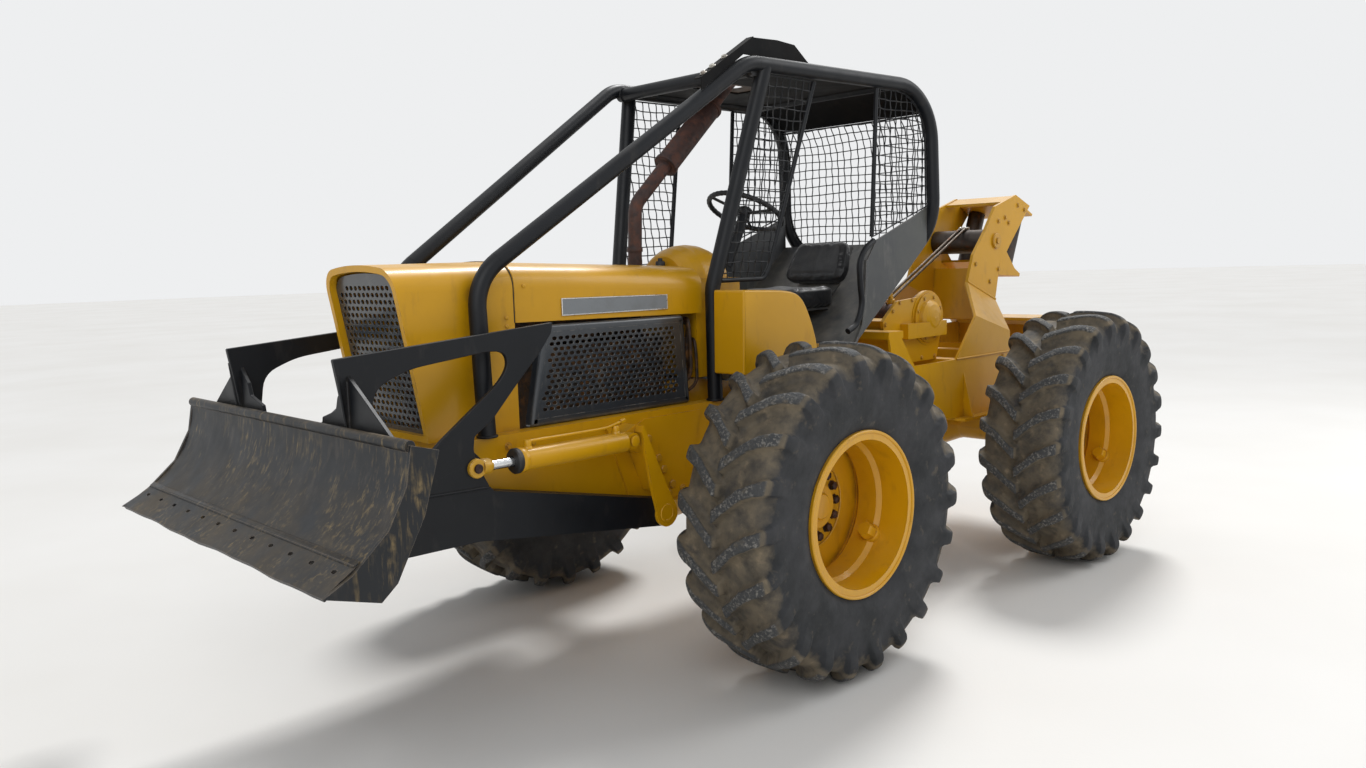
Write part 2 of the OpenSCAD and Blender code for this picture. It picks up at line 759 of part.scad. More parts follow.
module rear_shell() {
    color(DARK) from_front() {
        both_sides() plate_xz(WING, wing_y, wing_y + 8);
        // Rolled front edge
        both_sides() plate_xz([[-1017, 652], [-1005, 496], [-975, 310], [-904, 212], [-885, 208], [-957, 312],
            [-987, 497], [-999, 656]], wing_y - 1, wing_y + 16);
        plate_xz([[-897, 208], [-1462, 640], [-1542, 701], [-1585, 734], [-1585, 745], [-1545, 712],
            [-1467, 652], [-904, 222]], -wing_y - 1, wing_y + 1);
        // Tabs on the hoop's lower tube
        both_sides() plate_xz([[-1594.5, 620], [-1594.5, 660], [-1560, 716], [-1480, 656], [-1500, 640]], 280, 310);
    }
}

exhaust_x = 100;
exhaust_y = -80;
exhaust_r = 35;

module exhaust() {
    // The foot clears the crown at its edge nearest to the centre line
    near_y = abs(exhaust_y) - exhaust_r;
    crown_fall = hood_crown - sqrt(hood_crown * hood_crown - near_y * near_y);
    foot = housing_h - (seam_x - exhaust_x) * tan(hood_fall) - crown_fall + 2 * seat_gap;
    color(RUST) from_front() {
        tube([[exhaust_x, exhaust_y, foot], [85, exhaust_y, 965], [-640, exhaust_y, 1640]],
            exhaust_r, [0, 120, 0]);
        rod([-130, exhaust_y, 1165.17], [-480, exhaust_y, 1491.03], 60);
    }
}

// Blade linkage, from the front axle and the top of the front frame: [x, z]
arm_pivot = [475, -445];
lift_rear = [652, -92];
lift_eye = [1450, -87];
lift_y = 478;
eye_r = 36;
eye_half = 20;
lift_pin_r = 17;
bracket_gap = 6;

module lift_brackets() {
    arm_out = arm_y + arm_w / 2;
    inner_ear = rail_half + seat_gap;
    color(YELLOW) from_front() both_sides() {
        // Inner plate on the frame
        difference() {
            union() {
                plate_xz([[700, -40], [560, -40], [410, -430], [475, -510], [540, -470]],
                    inner_ear, inner_ear + 14);
                bar_y(arm_pivot[0], arm_pivot[1], 65, inner_ear, inner_ear + 14);
            }
        }
        // Pin that carries the push arm
        bar_y(arm_pivot[0], arm_pivot[1], arm_pin_r, inner_ear + 13, arm_out + 18);
        // Web and outer ear
        plate_xz([[470, -330], [600, -30], [612, -60], [500, -350]], inner_ear + 13, arm_out + 10);
        difference() {
            union() {
                plate_xz([[470, -325], [600, -30], [611, -60], [560, -330], [530, -445], [475, -505],
                    [415, -470], [420, -420]], arm_out + bracket_gap, arm_out + bracket_gap + 18);
                bar_y(arm_pivot[0], arm_pivot[1], 62, arm_out + bracket_gap, arm_out + bracket_gap + 18);
            }
        }
        // Upper ear and the pin of the lift cylinder
        plate_xz([[600, -30], [660, -54], [684, -80], [684, -108], [654, -130], [590, -160], [560, -130]],
            inner_ear + 13, lift_y - eye_half - 2);
        bar_y(lift_rear[0], lift_rear[1], lift_pin_r, inner_ear + 13, lift_y + eye_half + 8);
    }
}

module blade_moldboard() {
    centre = [2390, 125];
    skin = blade_t;
    end = [[1986, 130], [1886, 102], [1950, -100], [2060, -300], [2119, -349], [2308, -292], [2208, -240],
        [2080, -126], [2010, 0]];
    color(BLACK) from_front() {
        intersection() {
            difference() {
                bar_y(centre[0], centre[1], blade_r + skin, -blade_half, blade_half);
                bar_y(centre[0], centre[1], blade_r, -blade_half - 1, blade_half + 1);
            }
            plate_xz([[centre[0], centre[1]], [1900, centre[1]], [1900, -421], [2059, -421]],
                -blade_half, blade_half);
        }
        both_sides() plate_xz(end, blade_half - 1, blade_half + 15);
        bar_y(1990 - 8, centre[1], 20, -blade_half, blade_half);
    }
}

edge_slots = 12;

module cutting_edge() {
    spacing = 2 * blade_half / edge_slots;
    color(BLACK) from_front() difference() {
        plate_xz([[2184.5, -217], [2307, -295], [2298, -310], [2177, -233]], -blade_half + 1.3, blade_half - 1.3);
        for (i = [0 : edge_slots - 1])
            plate_xz([[2200, -200], [2232, -220], [2212, -280], [2180, -260]],
                (i + 0.5) * spacing - blade_half - 22, (i + 0.5) * spacing - blade_half + 22);
    }
}

module push_arms() {
    outer = arm_y + arm_w / 2;
    inner = arm_y - arm_w / 2;
    color(BLACK) from_front() both_sides() difference() {
        union() {
            plate_xz([[475, -383], [1372, -190], [1389, -170], [1985, -150], [2060, -300], [2060, -370],
                [1448, -377], [475, -507]], inner, outer);
            bar_y(arm_pivot[0], arm_pivot[1], 62, inner, outer);
        }
        bar_y(arm_pivot[0], arm_pivot[1], arm_pin_r + pin_gap, inner - 1, outer + 1);
    }
}

GUARD_PLATE = [
    [1961.5, 106], [1961.5, 125], [1966, 160], [1980, 267], [1998, 381], [1052, 451], [1061, 409], [1119, 337], [1229, 229],
    [1361, 92], [1447, 36], [1454, -10], [1449, -58], [1390, -169.6], [1800, -155.9], [1619, 22],
    [1320, 234], [1276, 297], [1292, 351], [1372, 358], [1502, 343], [1712, 320], [1853, 262], [1876, 106],
];
guard_t = 20;

module brush_guards() {
    y = arm_y + arm_w / 2;
    color(BLACK) from_front() both_sides() {
        difference() {
            plate_xz(GUARD_PLATE, y - guard_t, y);
            bar_y(lift_eye[0], lift_eye[1], eye_r + 20, y - guard_t - 1, y + 1);
        }
        // Cheek beside the eye of the lift cylinder
        plate_xz([[1400, -169.3], [1400, -60], [1430, -30], [1480, -30], [1520, -70], [1530, -165]],
            lift_y - eye_half - 33, lift_y - eye_half - 13);
        plate_yz([[y - guard_t, 300], [y, 320], [790, 116], [260, 116], [270, 158], [380, 190], [400, 240]],
            1935, 1951);
    }
}

// Lift cylinder along +X from its rear pin, at the machine's rest pose
lift_len = norm(lift_eye - lift_rear);
lift_angle = atan2(lift_eye[1] - lift_rear[1], lift_eye[0] - lift_rear[0]);
lift_barrel_len = 602;

module at_lift(side) {
    from_front() on_side(side) translate([lift_rear[0], lift_y, lift_rear[1]])
        rotate([0, -lift_angle, 0]) children();
}

// Barrel with a tail eye on the pin at the origin, open at its front
module barrel(r, rod_r, length, tail_r, tail_half, pin_r, bore_r) {
    difference() {
        union() {
            rotate([0, 90, 0]) translate([0, 0, tail_r + 8]) cylinder(r = r, h = length - tail_r - 8);
            block([0, tail_r + 20], [-tail_half, tail_half], [-tail_r * 0.8, tail_r * 0.8]);
            bar_y(0, 0, tail_r, -tail_half, tail_half);
        }
        bar_y(0, 0, pin_r + pin_gap, -tail_half - 1, tail_half + 1);
        rotate([0, 90, 0]) translate([0, 0, tail_r + 40]) cylinder(r = bore_r, h = length);
        rotate([0, 90, 0]) translate([0, 0, length - 30]) cylinder(r = rod_r + pin_gap, h = 40);
    }
    difference() {
        rotate([0, 90, 0]) translate([0, 0, length - 30]) cylinder(r = r, h = 30);
        rotate([0, 90, 0]) translate([0, 0, length - 31]) cylinder(r = rod_r + pin_gap, h = 40);
    }
}

module lift_barrel() {
    barrel(lift_barrel_r, lift_rod_r, lift_barrel_len, eye_r, eye_half, lift_pin_r, lift_barrel_r - 8);
}

// Rod with its piston at x = start, turned from one bar
module piston_rod(r, piston_r, start, piston_w, end) {
    rotate([0, 90, 0]) rotate_extrude() polygon([
        [0, start], [piston_r, start], [piston_r, start + piston_w], [r, start + piston_w], [r, end], [0, end],
    ]);
}

module lift_rod() {
    piston_rod(lift_rod_r, lift_barrel_r - 8 - seat_gap, 330, 50, lift_len - eye_r + 6);
    bar_y(lift_len, 0, eye_r, -lift_rod_r - 2, lift_rod_r + 2);
    bar_y(lift_len, 0, lift_pin_r, -eye_half - 12, eye_half + 8);
}

module lift_barrel_left() { color(YELLOW) at_lift(1) lift_barrel(); }
module lift_barrel_right() { color(YELLOW) at_lift(-1) lift_barrel(); }
module lift_rod_left() { color(CHROME) at_lift(1) lift_rod(); }
module lift_rod_right() { color(CHROME) at_lift(-1) lift_rod(); }

// Steering cylinders lie level beside the pivot, from the front axle: [x, y]
steer_z = -190;
steer_front = [hinge_x + 400, 250];
steer_rear = [hinge_x - 340, 220];
// Sides of the openings in the hinge bulkhead
steer_window = [157, 326];
steer_pin_r = 16;
steer_barrel_r = 34;
steer_rod_r = 17;
steer_len = norm(steer_rear - steer_front);
steer_angle = atan2(steer_rear[1] - steer_front[1], steer_rear[0] - steer_front[0]);
steer_barrel_len = 440;
steer_piston = 218;

module at_steer(side) {
    from_front() on_side(side) translate([steer_front[0], steer_front[1], steer_z])
        rotate([0, 0, steer_angle]) rotate([90, 0, 0]) children();
}

module steer_barrel() {
    barrel(steer_barrel_r, steer_rod_r, steer_barrel_len, 30, 24, steer_pin_r, steer_barrel_r - 7);
}

module steer_rod() {
    piston_rod(steer_rod_r, steer_barrel_r - 7 - seat_gap, steer_piston, 40, steer_len - 20);
    bar_y(steer_len, 0, 30, -20, 20);
}

module steer_barrel_left() { color(YELLOW) at_steer(1) steer_barrel(); }
module steer_barrel_right() { color(YELLOW) at_steer(-1) steer_barrel(); }
module steer_rod_left() { color(CHROME) at_steer(1) steer_rod(); }
module steer_rod_right() { color(CHROME) at_steer(-1) steer_rod(); }

// Rear frame, from the articulation pivot
rear_axle_back = -wheelbase / 2;
bulkhead_x = -420;
tail_x = -1950;
REAR_SIDE = [
    [-200, rear_rise], [tail_x, rear_rise], [tail_x, -220], [rear_axle_back - 330, -340],
    [rear_axle_back + 390, -340], [rear_axle_back + 640, -290], [bulkhead_x, -290], [-330, -210], [-200, -30],
];

// Bent cover over the hinge: its front edge and its top
cover_front = -155;
cover_top = 241;

module rear_frame() {
    inner = rear_half - plate_t;
    yoke_low = upper_lug + hinge_t + run_gap;
    yoke_base = lower_lug - run_gap - hinge_t;
    color(YELLOW) from_pivot() {
        both_sides() {
            difference() {
                plate_xz(REAR_SIDE, inner, rear_half);
                translate([rear_axle_back, 0, 0]) axle_slot(inner - 1, rear_half + 1, -341);
            }
            difference() {
                block([rear_axle_back - 330, rear_axle_back + 340], [310, 500], [-356, -340]);
                translate([rear_axle_back, 0, 0])
                    block([-110 - seat_gap, 110 + seat_gap], [300, 560], [-360, -330]);
            }
            // Gussets from the side plate to the pad under it
            for (x = [-955, -1425])
                plate_yz([[rear_half - 1, -60], [rear_half - 1, -341], [495, -341]], x - 8, x + 8);
        }
        // Bulkhead, cross plates and tail plate
        difference() {
            block([bulkhead_x - plate_t, bulkhead_x], [-inner - 1, inner + 1], [-380, rear_rise]);
            translate([bulkhead_x - plate_t - 1, 0, -150]) rotate([0, 90, 0]) cylinder(r = 75, h = plate_t + 2);
        }
        block([-950, -850], [-inner - 1, inner + 1], [rear_rise - 60, rear_rise]);
        block([-1560, -1450], [-inner - 1, inner + 1], [rear_rise - 60, rear_rise]);
        block([tail_x, tail_x + plate_t], [-inner - 1, inner + 1], [-220, rear_rise]);
        // Upper hinge plate under a bent cover
        bar_z(0, 0, lug_r, yoke_low, yoke_low + hinge_t);
        block([-300, 0], [-lug_r, lug_r], [yoke_low, yoke_low + hinge_t]);
        block([cover_front - 145, cover_front], [-rear_half, rear_half], [yoke_low + hinge_t - 1, cover_top]);
        both_sides() plate_xz([[cover_front - 100, cover_top - 1], [cover_front - 260, rear_rise - 1],
            [cover_front - 45, rear_rise - 1], [cover_front, cover_top - 1]], inner, rear_half);
        both_sides() block([-300, -284], [lug_r - 1, inner + 1], [rear_rise - 60, cover_top - 1]);
        both_sides() block([-300, -200], [lug_r - 16, lug_r], [rear_rise - 60, cover_top - 1]);
        bar_z(0, 0, hinge_pin_r, upper_lug - 10, yoke_low + hinge_t + 10);
        bar_z(0, 0, hinge_pin_r + 25, yoke_low - run_gap + seat_gap, yoke_low + 1);
        // Lower hinge plate
        bar_z(0, 0, lug_r, yoke_base, yoke_base + hinge_t);
        block([bulkhead_x - plate_t, 0], [-lug_r, lug_r], [yoke_base, yoke_base + hinge_t]);
        bar_z(0, 0, hinge_pin_r, yoke_base - 10, lower_lug + hinge_t + 10);
        bar_z(0, 0, hinge_pin_r + 25, yoke_base + hinge_t - 1, lower_lug - seat_gap);
        // Steering cylinder ears
        both_sides() for (low = [steer_z - 46, steer_z + 26]) {
            bar_z(steer_rear[0] - hinge_x, steer_rear[1], 34, low, low + 20);
            block([bulkhead_x - 1, steer_rear[0] - hinge_x], [steer_rear[1] - 34, steer_rear[1] + 34], [low, low + 20]);
        }
    }
}

winch_x = -764;
winch_z = 286;
winch_half = 270;

module winch_housing() {
    deck = rear_rise + seat_gap;
    side = [[-860, deck], [-312, deck], [-312, 195], [-297, 289], [-443, 403], [-743, 421], [-860, 400],
        [-930, 286], [-900, 150]];
    color(YELLOW) from_pivot() {
        both_sides() difference() {
            union() {
                plate_xz(side, winch_half, winch_half + 20);
                bar_y(winch_x, winch_z, 168, winch_half, winch_half + 24);
            }
            bar_y(winch_x, winch_z, 40 + pin_gap, winch_half - 1, winch_half + 21);
        }
        both_sides() translate([winch_x, winch_half + 23, winch_z]) rotate([-90, 0, 0])
            rotate_extrude() polygon([[0, 0], [150, 0], [150, 13], [112, 13], [104, 30], [82, 46], [48, 56], [0, 59]]);
        block([-560, -330], [-winch_half - 1, winch_half + 1], [deck, 290]);
        both_sides() block([-895, -475], [winch_half + 19, winch_half + 75], [175, 265]);
    }
}

module winch_drum() {
    color(DARK) from_pivot() {
        bar_y(winch_x, winch_z, drum_r, -winch_half + 6, winch_half - 6);
        both_sides() bar_y(winch_x, winch_z, 150, winch_half - 30, winch_half - 6);
        bar_y(winch_x, winch_z, 40, -winch_half - 18, winch_half + 18);
    }
}

// Arch: the legs lean back from the frame to the roller head
arch_y = 240;
arch_t = 20;
cross_roller = [-1667, 749];
ARCH_LEG = [
    [-1313, 486], [-1383, 662], [-1526, 811], [-1658, 978], [-1933, 1060], [-2126, 988],
    [-1858, 724], [-1812, 674], [-1736, 663], [-1663, 356],
];
ARCH_FOOT = [[-867, 25], [-1525, 25], [-1516, 160], [-1095, 283]];
// Vertical guide roller, upper and lower end: [x, z]
SIDE_ROLLER = [[-2086, 948], [-1912, 550]];
side_roller_y = 150;

module roller_lean() {
    d = SIDE_ROLLER[0] - SIDE_ROLLER[1];
    translate([SIDE_ROLLER[1][0], 0, SIDE_ROLLER[1][1]]) rotate([0, atan2(d[0], d[1]), 0]) children();
}

module log_arch() {
    foot_y = rear_half - plate_t;
    length = norm(SIDE_ROLLER[0] - SIDE_ROLLER[1]);
    color(YELLOW) from_pivot() {
        both_sides() {
            difference() {
                plate_xz(ARCH_LEG, arch_y - arch_t, arch_y);
                bar_y(cross_roller[0], cross_roller[1], 30 + pin_gap, arch_y - arch_t - 1, arch_y + 1);
            }
            plate_xz(ARCH_FOOT, foot_y, rear_half);
            hull() {
                plate_xz([[-1095, 283], [-1516, 160], [-1519, 145], [-1090, 268]], foot_y, rear_half);
                plate_xz([[-1313, 486], [-1663, 356], [-1663, 340], [-1306, 470]], arch_y - arch_t, arch_y);
            }
        }
        // Cross plate and top bar
        plate_xz([[-1655, 570], [-1615, 225], [-1600, 225], [-1640, 570]], -arch_y + 1, arch_y - 1);
        plate_xz([[-1933, 1055], [-1790, 1012], [-1794, 996], [-1935, 1038]], -arch_y + 1, arch_y - 1);
        // Plates above and below the guide rollers
        roller_lean() {
            block([-80, 120], [-arch_y + 1, arch_y - 1], [length + seat_gap, length + 16]);
            block([-90, 190], [-arch_y + 1, arch_y - 1], [-16, -seat_gap]);
            both_sides() bar_z(0, side_roller_y, 20, -1, length + 1);
        }
        // Webs that carry the lower plate
        both_sides() plate_xz([[-1812, 674], [-1736, 663], [-1705, 520], [-1990, 505], [-1993, 520], [-1920, 560]],
            arch_y - arch_t, arch_y);
    }
}

module cross_roller() {
    color(DARK) from_pivot() {
        bar_y(cross_roller[0], cross_roller[1], cross_roller_r, -arch_y + 26, arch_y - 26);
        bar_y(cross_roller[0], cross_roller[1], 30, -arch_y, arch_y);
    }
}

module side_roller(side) {
    length = norm(SIDE_ROLLER[0] - SIDE_ROLLER[1]);
    color(DARK) from_pivot() on_side(side) roller_lean() difference() {
        bar_z(0, side_roller_y, side_roller_r, 0, length);
        bar_z(0, side_roller_y, 20 + pin_gap, -1, length + 1);
    }
}

module side_roller_left() { side_roller(1); }
module side_roller_right() { side_roller(-1); }

module butt_plate() {
    color(YELLOW) from_pivot() {
        plate_xz([[-1800, 225], [-2160, 225], [-2225, 160], [-2225, -220], [-2205, -220], [-2205, 150],
            [-2150, 205], [-1800, 205]], -rear_half, rear_half);
        both_sides() block([-2206, tail_x - seat_gap], [rear_half - 60, rear_half - 44], [-220, 160]);
    }
}

// Strands from the top of the drum over the cross roller
LINE = [[-718.7, 374.4], [-1646, 838.6], [-1690, 838.6]];

module winch_line() {
    color(DARK) from_pivot() for (y = [-20, 20])
        tube([for (p = LINE) [p[0], y, p[1]]], 9, [0, cross_roller_r + 9.3, 0]);
}

// Each wheel: axle, side
module tyre_front_left() { color(RUBBER) at_wheel(front_axle_x, 1) tyre(); }
module tyre_front_right() { color(RUBBER) at_wheel(front_axle_x, -1) tyre(); }
module tyre_rear_left() { color(RUBBER) at_wheel(rear_axle_x, 1) tyre(); }
module tyre_rear_right() { color(RUBBER) at_wheel(rear_axle_x, -1) tyre(); }
module rim_front_left() { color(YELLOW) at_wheel(front_axle_x, 1) rim(); }
module rim_front_right() { color(YELLOW) at_wheel(front_axle_x, -1) rim(); }
module rim_rear_left() { color(YELLOW) at_wheel(rear_axle_x, 1) rim(); }
module rim_rear_right() { color(YELLOW) at_wheel(rear_axle_x, -1) rim(); }

front_frame();
front_axle();
engine();
transmission();
grille_housing();
front_grille();
hood();
side_screens();
dash_cowl();
side_tanks();
platform();
seat_base();
seat_cushion();
seat_back();
steering_column();
steering_wheel();
guard_frame();
guard_roof();
guard_mesh();
mesh_front_left();
mesh_front_right();
mesh_rear_left();
mesh_rear_right();
rear_shell();
exhaust();
lift_brackets();
blade_moldboard();
cutting_edge();
push_arms();
brush_guards();
lift_barrel_left();
lift_barrel_right();
lift_rod_left();
lift_rod_right();
steer_barrel_left();
steer_barrel_right();
steer_rod_left();
steer_rod_right();
rear_frame();
rear_axle();
winch_housing();
winch_drum();
winch_line();
log_arch();
cross_roller();
side_roller_left();
side_roller_right();
butt_plate();
tyre_front_left();
tyre_front_right();
tyre_rear_left();
tyre_rear_right();
rim_front_left();
rim_front_right();
rim_rear_left();
rim_rear_right();
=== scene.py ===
"""Log skidder in a plain studio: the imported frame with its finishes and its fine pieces.

All places are in metres in the row frame, +X forward, +Y the machine's left, +Z up.
"""

import logging
import math
from dataclasses import dataclass, field
from enum import Enum
from typing import Callable, Optional, Sequence

import bpy
import numpy as np
from mathutils import Matrix, Vector


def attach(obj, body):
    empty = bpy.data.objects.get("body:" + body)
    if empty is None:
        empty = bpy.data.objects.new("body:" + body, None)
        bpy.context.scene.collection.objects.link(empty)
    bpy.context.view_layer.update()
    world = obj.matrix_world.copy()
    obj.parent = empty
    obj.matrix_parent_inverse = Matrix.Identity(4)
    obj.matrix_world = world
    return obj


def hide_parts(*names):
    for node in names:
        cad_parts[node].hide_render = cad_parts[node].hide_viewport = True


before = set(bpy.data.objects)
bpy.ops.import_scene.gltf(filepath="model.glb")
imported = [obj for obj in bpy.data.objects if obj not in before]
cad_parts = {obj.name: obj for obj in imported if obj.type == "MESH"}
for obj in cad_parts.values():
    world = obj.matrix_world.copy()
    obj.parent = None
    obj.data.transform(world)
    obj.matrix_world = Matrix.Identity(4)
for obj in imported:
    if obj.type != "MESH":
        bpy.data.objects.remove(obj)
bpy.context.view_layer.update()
log = logging.getLogger("skidder")

MM = 0.001
FRONT_DATUM = np.array([0.555, 0.0, 1.175])  # front axle, top of the front frame
REAR_DATUM = np.array([-0.640, 0.0, 1.175])  # articulation pivot, top of the front frame
AXLE_X = {"front": 0.555, "rear": -1.835}
AXLE_Z = 0.745
X, Y, Z = np.eye(3)

Point = tuple[float, float, float]
Pair = tuple[float, float]
Pairs = tuple[Pair, ...]
Profile = Sequence[Sequence[float]]
Socket = bpy.types.NodeSocket


class Side(Enum):
    """The machine's two sides."""

    LEFT = 1
    RIGHT = -1

    @property
    def word(self) -> str:
        """The side's name in lower case."""
        return self.name.lower()


def front(*point: float) -> np.ndarray:
    """Point in metres from millimetres off the front axle and the frame's top."""
    return FRONT_DATUM + MM * np.array(point, float)


def rear(*point: float) -> np.ndarray:
    """Point in metres from millimetres off the articulation pivot and the frame's top."""
    return REAR_DATUM + MM * np.array(point, float)


def round_angles(count: int) -> np.ndarray:
    """Angles in radians of so many points round a circle."""
    return np.linspace(0, 2 * np.pi, count, endpoint=False)


def unit(v: np.ndarray) -> np.ndarray:
    """Vectors along the last axis, each divided by its length."""
    return v / np.linalg.norm(v, axis=-1, keepdims=True)


def ease(x: np.ndarray) -> np.ndarray:
    """Cubic step 3x^2 - 2x^3 with x held between 0 and 1."""
    x = np.clip(x, 0.0, 1.0)
    return x * x * (3 - 2 * x)


# ---------------------------------------------------------------- surfaces


class Form:
    """Closed surfaces that are gathered into one mesh."""

    def __init__(self) -> None:
        """Start with no points and no faces."""
        self.points: list[np.ndarray] = []
        self.faces: list[list[int]] = []
        self.marks: list[np.ndarray] = []
        self.count = 0

    def skin(self, grid: np.ndarray, wrap: bool = False, mark: Optional[np.ndarray] = None,
             flat: bool = False) -> "Form":
        """Add one closed surface; its rows are closed rings.

        Args:
            grid: points of shape (rows, columns, 3).
            wrap: the last row joins the first; otherwise a fan closes each end.
            mark: a value per point, kept in the mesh's attribute "lift".
            flat: one face closes each end instead of a fan, as a hollow outline needs.

        Returns:
            The form, for another call.
        """
        tips = []
        if not wrap:
            for end in (0, -1):
                pole = np.ptp(grid[end], axis=0).max() < 1e-7
                tips.append(grid[end].mean(0))
                if pole:
                    grid = grid[1:] if end == 0 else grid[:-1]
        rows, columns = grid.shape[:2]
        i = np.arange(rows if wrap else rows - 1)[:, None]
        j = np.arange(columns)[None, :]
        i2, j2 = (i + 1) % rows, (j + 1) % columns
        quads = np.stack([i * columns + j, i2 * columns + j, i2 * columns + j2, i * columns + j2], -1)
        quads = quads.reshape(-1, 4)
        points = grid.reshape(-1, 3)
        fans = np.zeros((0, 3), int)
        if tips:
            k, k2 = np.arange(columns), (np.arange(columns) + 1) % columns
            last = (rows - 1) * columns
            fans = np.concatenate([
                np.stack([np.full(columns, len(points)), k, k2], -1),
                np.stack([np.full(columns, len(points) + 1), last + k2, last + k], -1)])
            points = np.concatenate([points, tips])
        corners = np.concatenate([quads[:, [0, 1, 2]], quads[:, [0, 2, 3]], fans])
        a, b, c = (points[corners[:, n]] for n in range(3))
        ends = fans if not flat else np.stack([k, last + k[::-1]])
        if np.einsum("ij,ij->", a, np.cross(b, c)) < 0:
            quads, ends = quads[:, ::-1], ends[:, ::-1]
        value = None if mark is None else np.concatenate([mark.reshape(-1), np.zeros(len(tips))])
        return self.add(points, (quads + self.count).tolist() + (ends + self.count).tolist(), value)

    def add(self, points: np.ndarray, faces: list[list[int]], mark: Optional[np.ndarray] = None) -> "Form":
        """Add points and the faces between them, already numbered from the form's count."""
        self.points.append(points)
        self.faces += faces
        self.marks.append(np.zeros(len(points)) if mark is None else mark)
        self.count += len(points)
        return self

    def piece(self, name: str, finish: "Finish", body: str, sharp: float = 0.6,
              replaces: Sequence[str] = ()) -> bpy.types.Object:
        """Make the object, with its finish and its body.

        Args:
            name: the piece's name.
            finish: what it is made of, and the slot for that.
            body: the CAD body that it moves with.
            sharp: angle in radians past which an edge stays sharp.
            replaces: CAD nodes that the piece stands for.

        Returns:
            The linked object.
        """
        mesh = bpy.data.meshes.new(name)
        mesh.from_pydata(np.concatenate(self.points).tolist(), [], self.faces)
        mesh.polygons.foreach_set("use_smooth", np.ones(len(mesh.polygons), bool))
        lift = mesh.attributes.new("lift", "FLOAT", "POINT")
        lift.data.foreach_set("value", np.concatenate(self.marks).astype(np.float32))
        mesh.set_sharp_from_angle(angle=sharp)
        mesh.materials.append(finish.material())
        piece = linked(name, mesh)
        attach(piece, body)
        if replaces:
            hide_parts(*replaces)
        log.info("%s: %d faces on %s", name, len(mesh.polygons), body)
        return piece


def linked(name: str, data: bpy.types.ID) -> bpy.types.Object:
    """A new object in the scene, at the origin."""
    thing = bpy.data.objects.new(name, data)
    bpy.context.scene.collection.objects.link(thing)
    return thing


def turned(profile: Profile, centre: np.ndarray, axis: np.ndarray,
           segments: int = 32, spin: float = 0.0) -> np.ndarray:
    """Profile turned about an axis: centre + height * axis + radius * (cos a * side + sin a * up).

    Args:
        profile: (radius, height) pairs in metres.
        centre: where the height is zero.
        axis: direction of the height.
        segments: points round the axis; 6 makes a hexagon.
        spin: angle of the first point.

    Returns:
        Points of shape (profile, segments, 3).
    """
    axis = unit(np.asarray(axis, float))
    side = unit(np.cross(axis, X if abs(axis[0]) < 0.8 else Y))
    up = np.cross(axis, side)
    a = spin + round_angles(segments)
    ring = np.cos(a)[:, None] * side + np.sin(a)[:, None] * up
    r, h = np.asarray(profile, float).T
    return np.asarray(centre) + h[:, None, None] * axis + r[:, None, None] * ring


def smooth_path(points: Sequence[Sequence[float]], count: int = 24) -> np.ndarray:
    """Curve through points: cubic Hermite pieces whose tangents join each point's two neighbours.

    Args:
        points: the points it passes through.
        count: points of the result.

    Returns:
        Points of shape (count, 3), evenly spaced along the curve.
    """
    p = np.asarray(points, float)
    m = np.gradient(p, axis=0)
    t = np.linspace(0, len(p) - 1, 40 * len(p))
    i = np.minimum(t.astype(int), len(p) - 2)
    s = (t - i)[:, None]
    curve = ((2 * s**3 - 3 * s**2 + 1) * p[i] + (s**3 - 2 * s**2 + s) * m[i]
             + (3 * s**2 - 2 * s**3) * p[i + 1] + (s**3 - s**2) * m[i + 1])
    return even(curve, count)


def even(curve: np.ndarray, count: int) -> np.ndarray:
    """The same line with points at equal distances along it."""
    run = np.concatenate([[0], np.cumsum(np.linalg.norm(np.diff(curve, axis=0), axis=1))])
    at = np.linspace(0, run[-1], count)
    return np.stack([np.interp(at, run, curve[:, k]) for k in range(curve.shape[1])], -1)


def filleted(points: Sequence[Sequence[float]], bend: float, steps: int = 8) -> np.ndarray:
    """Straight lengths whose corners are rounded by a quadratic curve that starts bend before each.

    Args:
        points: the corners, ends included.
        bend: distance from a corner at which its curve starts.
        steps: points of each curve.

    Returns:
        Points of the path.
    """
    p = np.asarray(points, float)
    t = np.linspace(0, 1, steps)[:, None]
    parts = [p[:1]]
    for a, b, c in zip(p[:-2], p[1:-1], p[2:]):
        start = b + unit(a - b) * min(bend, 0.48 * np.linalg.norm(a - b))
        end = b + unit(c - b) * min(bend, 0.48 * np.linalg.norm(c - b))
        parts.append((1 - t) ** 2 * start + 2 * t * (1 - t) * b + t**2 * end)
    return np.concatenate([*parts, p[-1:]])


def round_corners(points: np.ndarray, bend: float | np.ndarray, steps: int) -> np.ndarray:
    """Closed outline whose corners are each rounded by a quadratic curve of the same points.

    Args:
        points: the corners, shape (n, 2).
        bend: distance from a corner at which its curve starts, or one per corner; at most 0.47 of an edge.
        steps: points of each curve.

    Returns:
        Points of shape (n * steps, 2).
    """
    p = np.asarray(points, float)
    t = np.linspace(0, 1, steps)[None, :, None]
    b = p[:, None]
    to_last, to_next = np.roll(p, 1, 0) - p, np.roll(p, -1, 0) - p
    start = b + (unit(to_last) * np.minimum(bend, 0.47 * np.linalg.norm(to_last, axis=1))[:, None])[:, None]
    end = b + (unit(to_next) * np.minimum(bend, 0.47 * np.linalg.norm(to_next, axis=1))[:, None])[:, None]
    return ((1 - t) ** 2 * start + 2 * t * (1 - t) * b + t**2 * end).reshape(-1, 2)


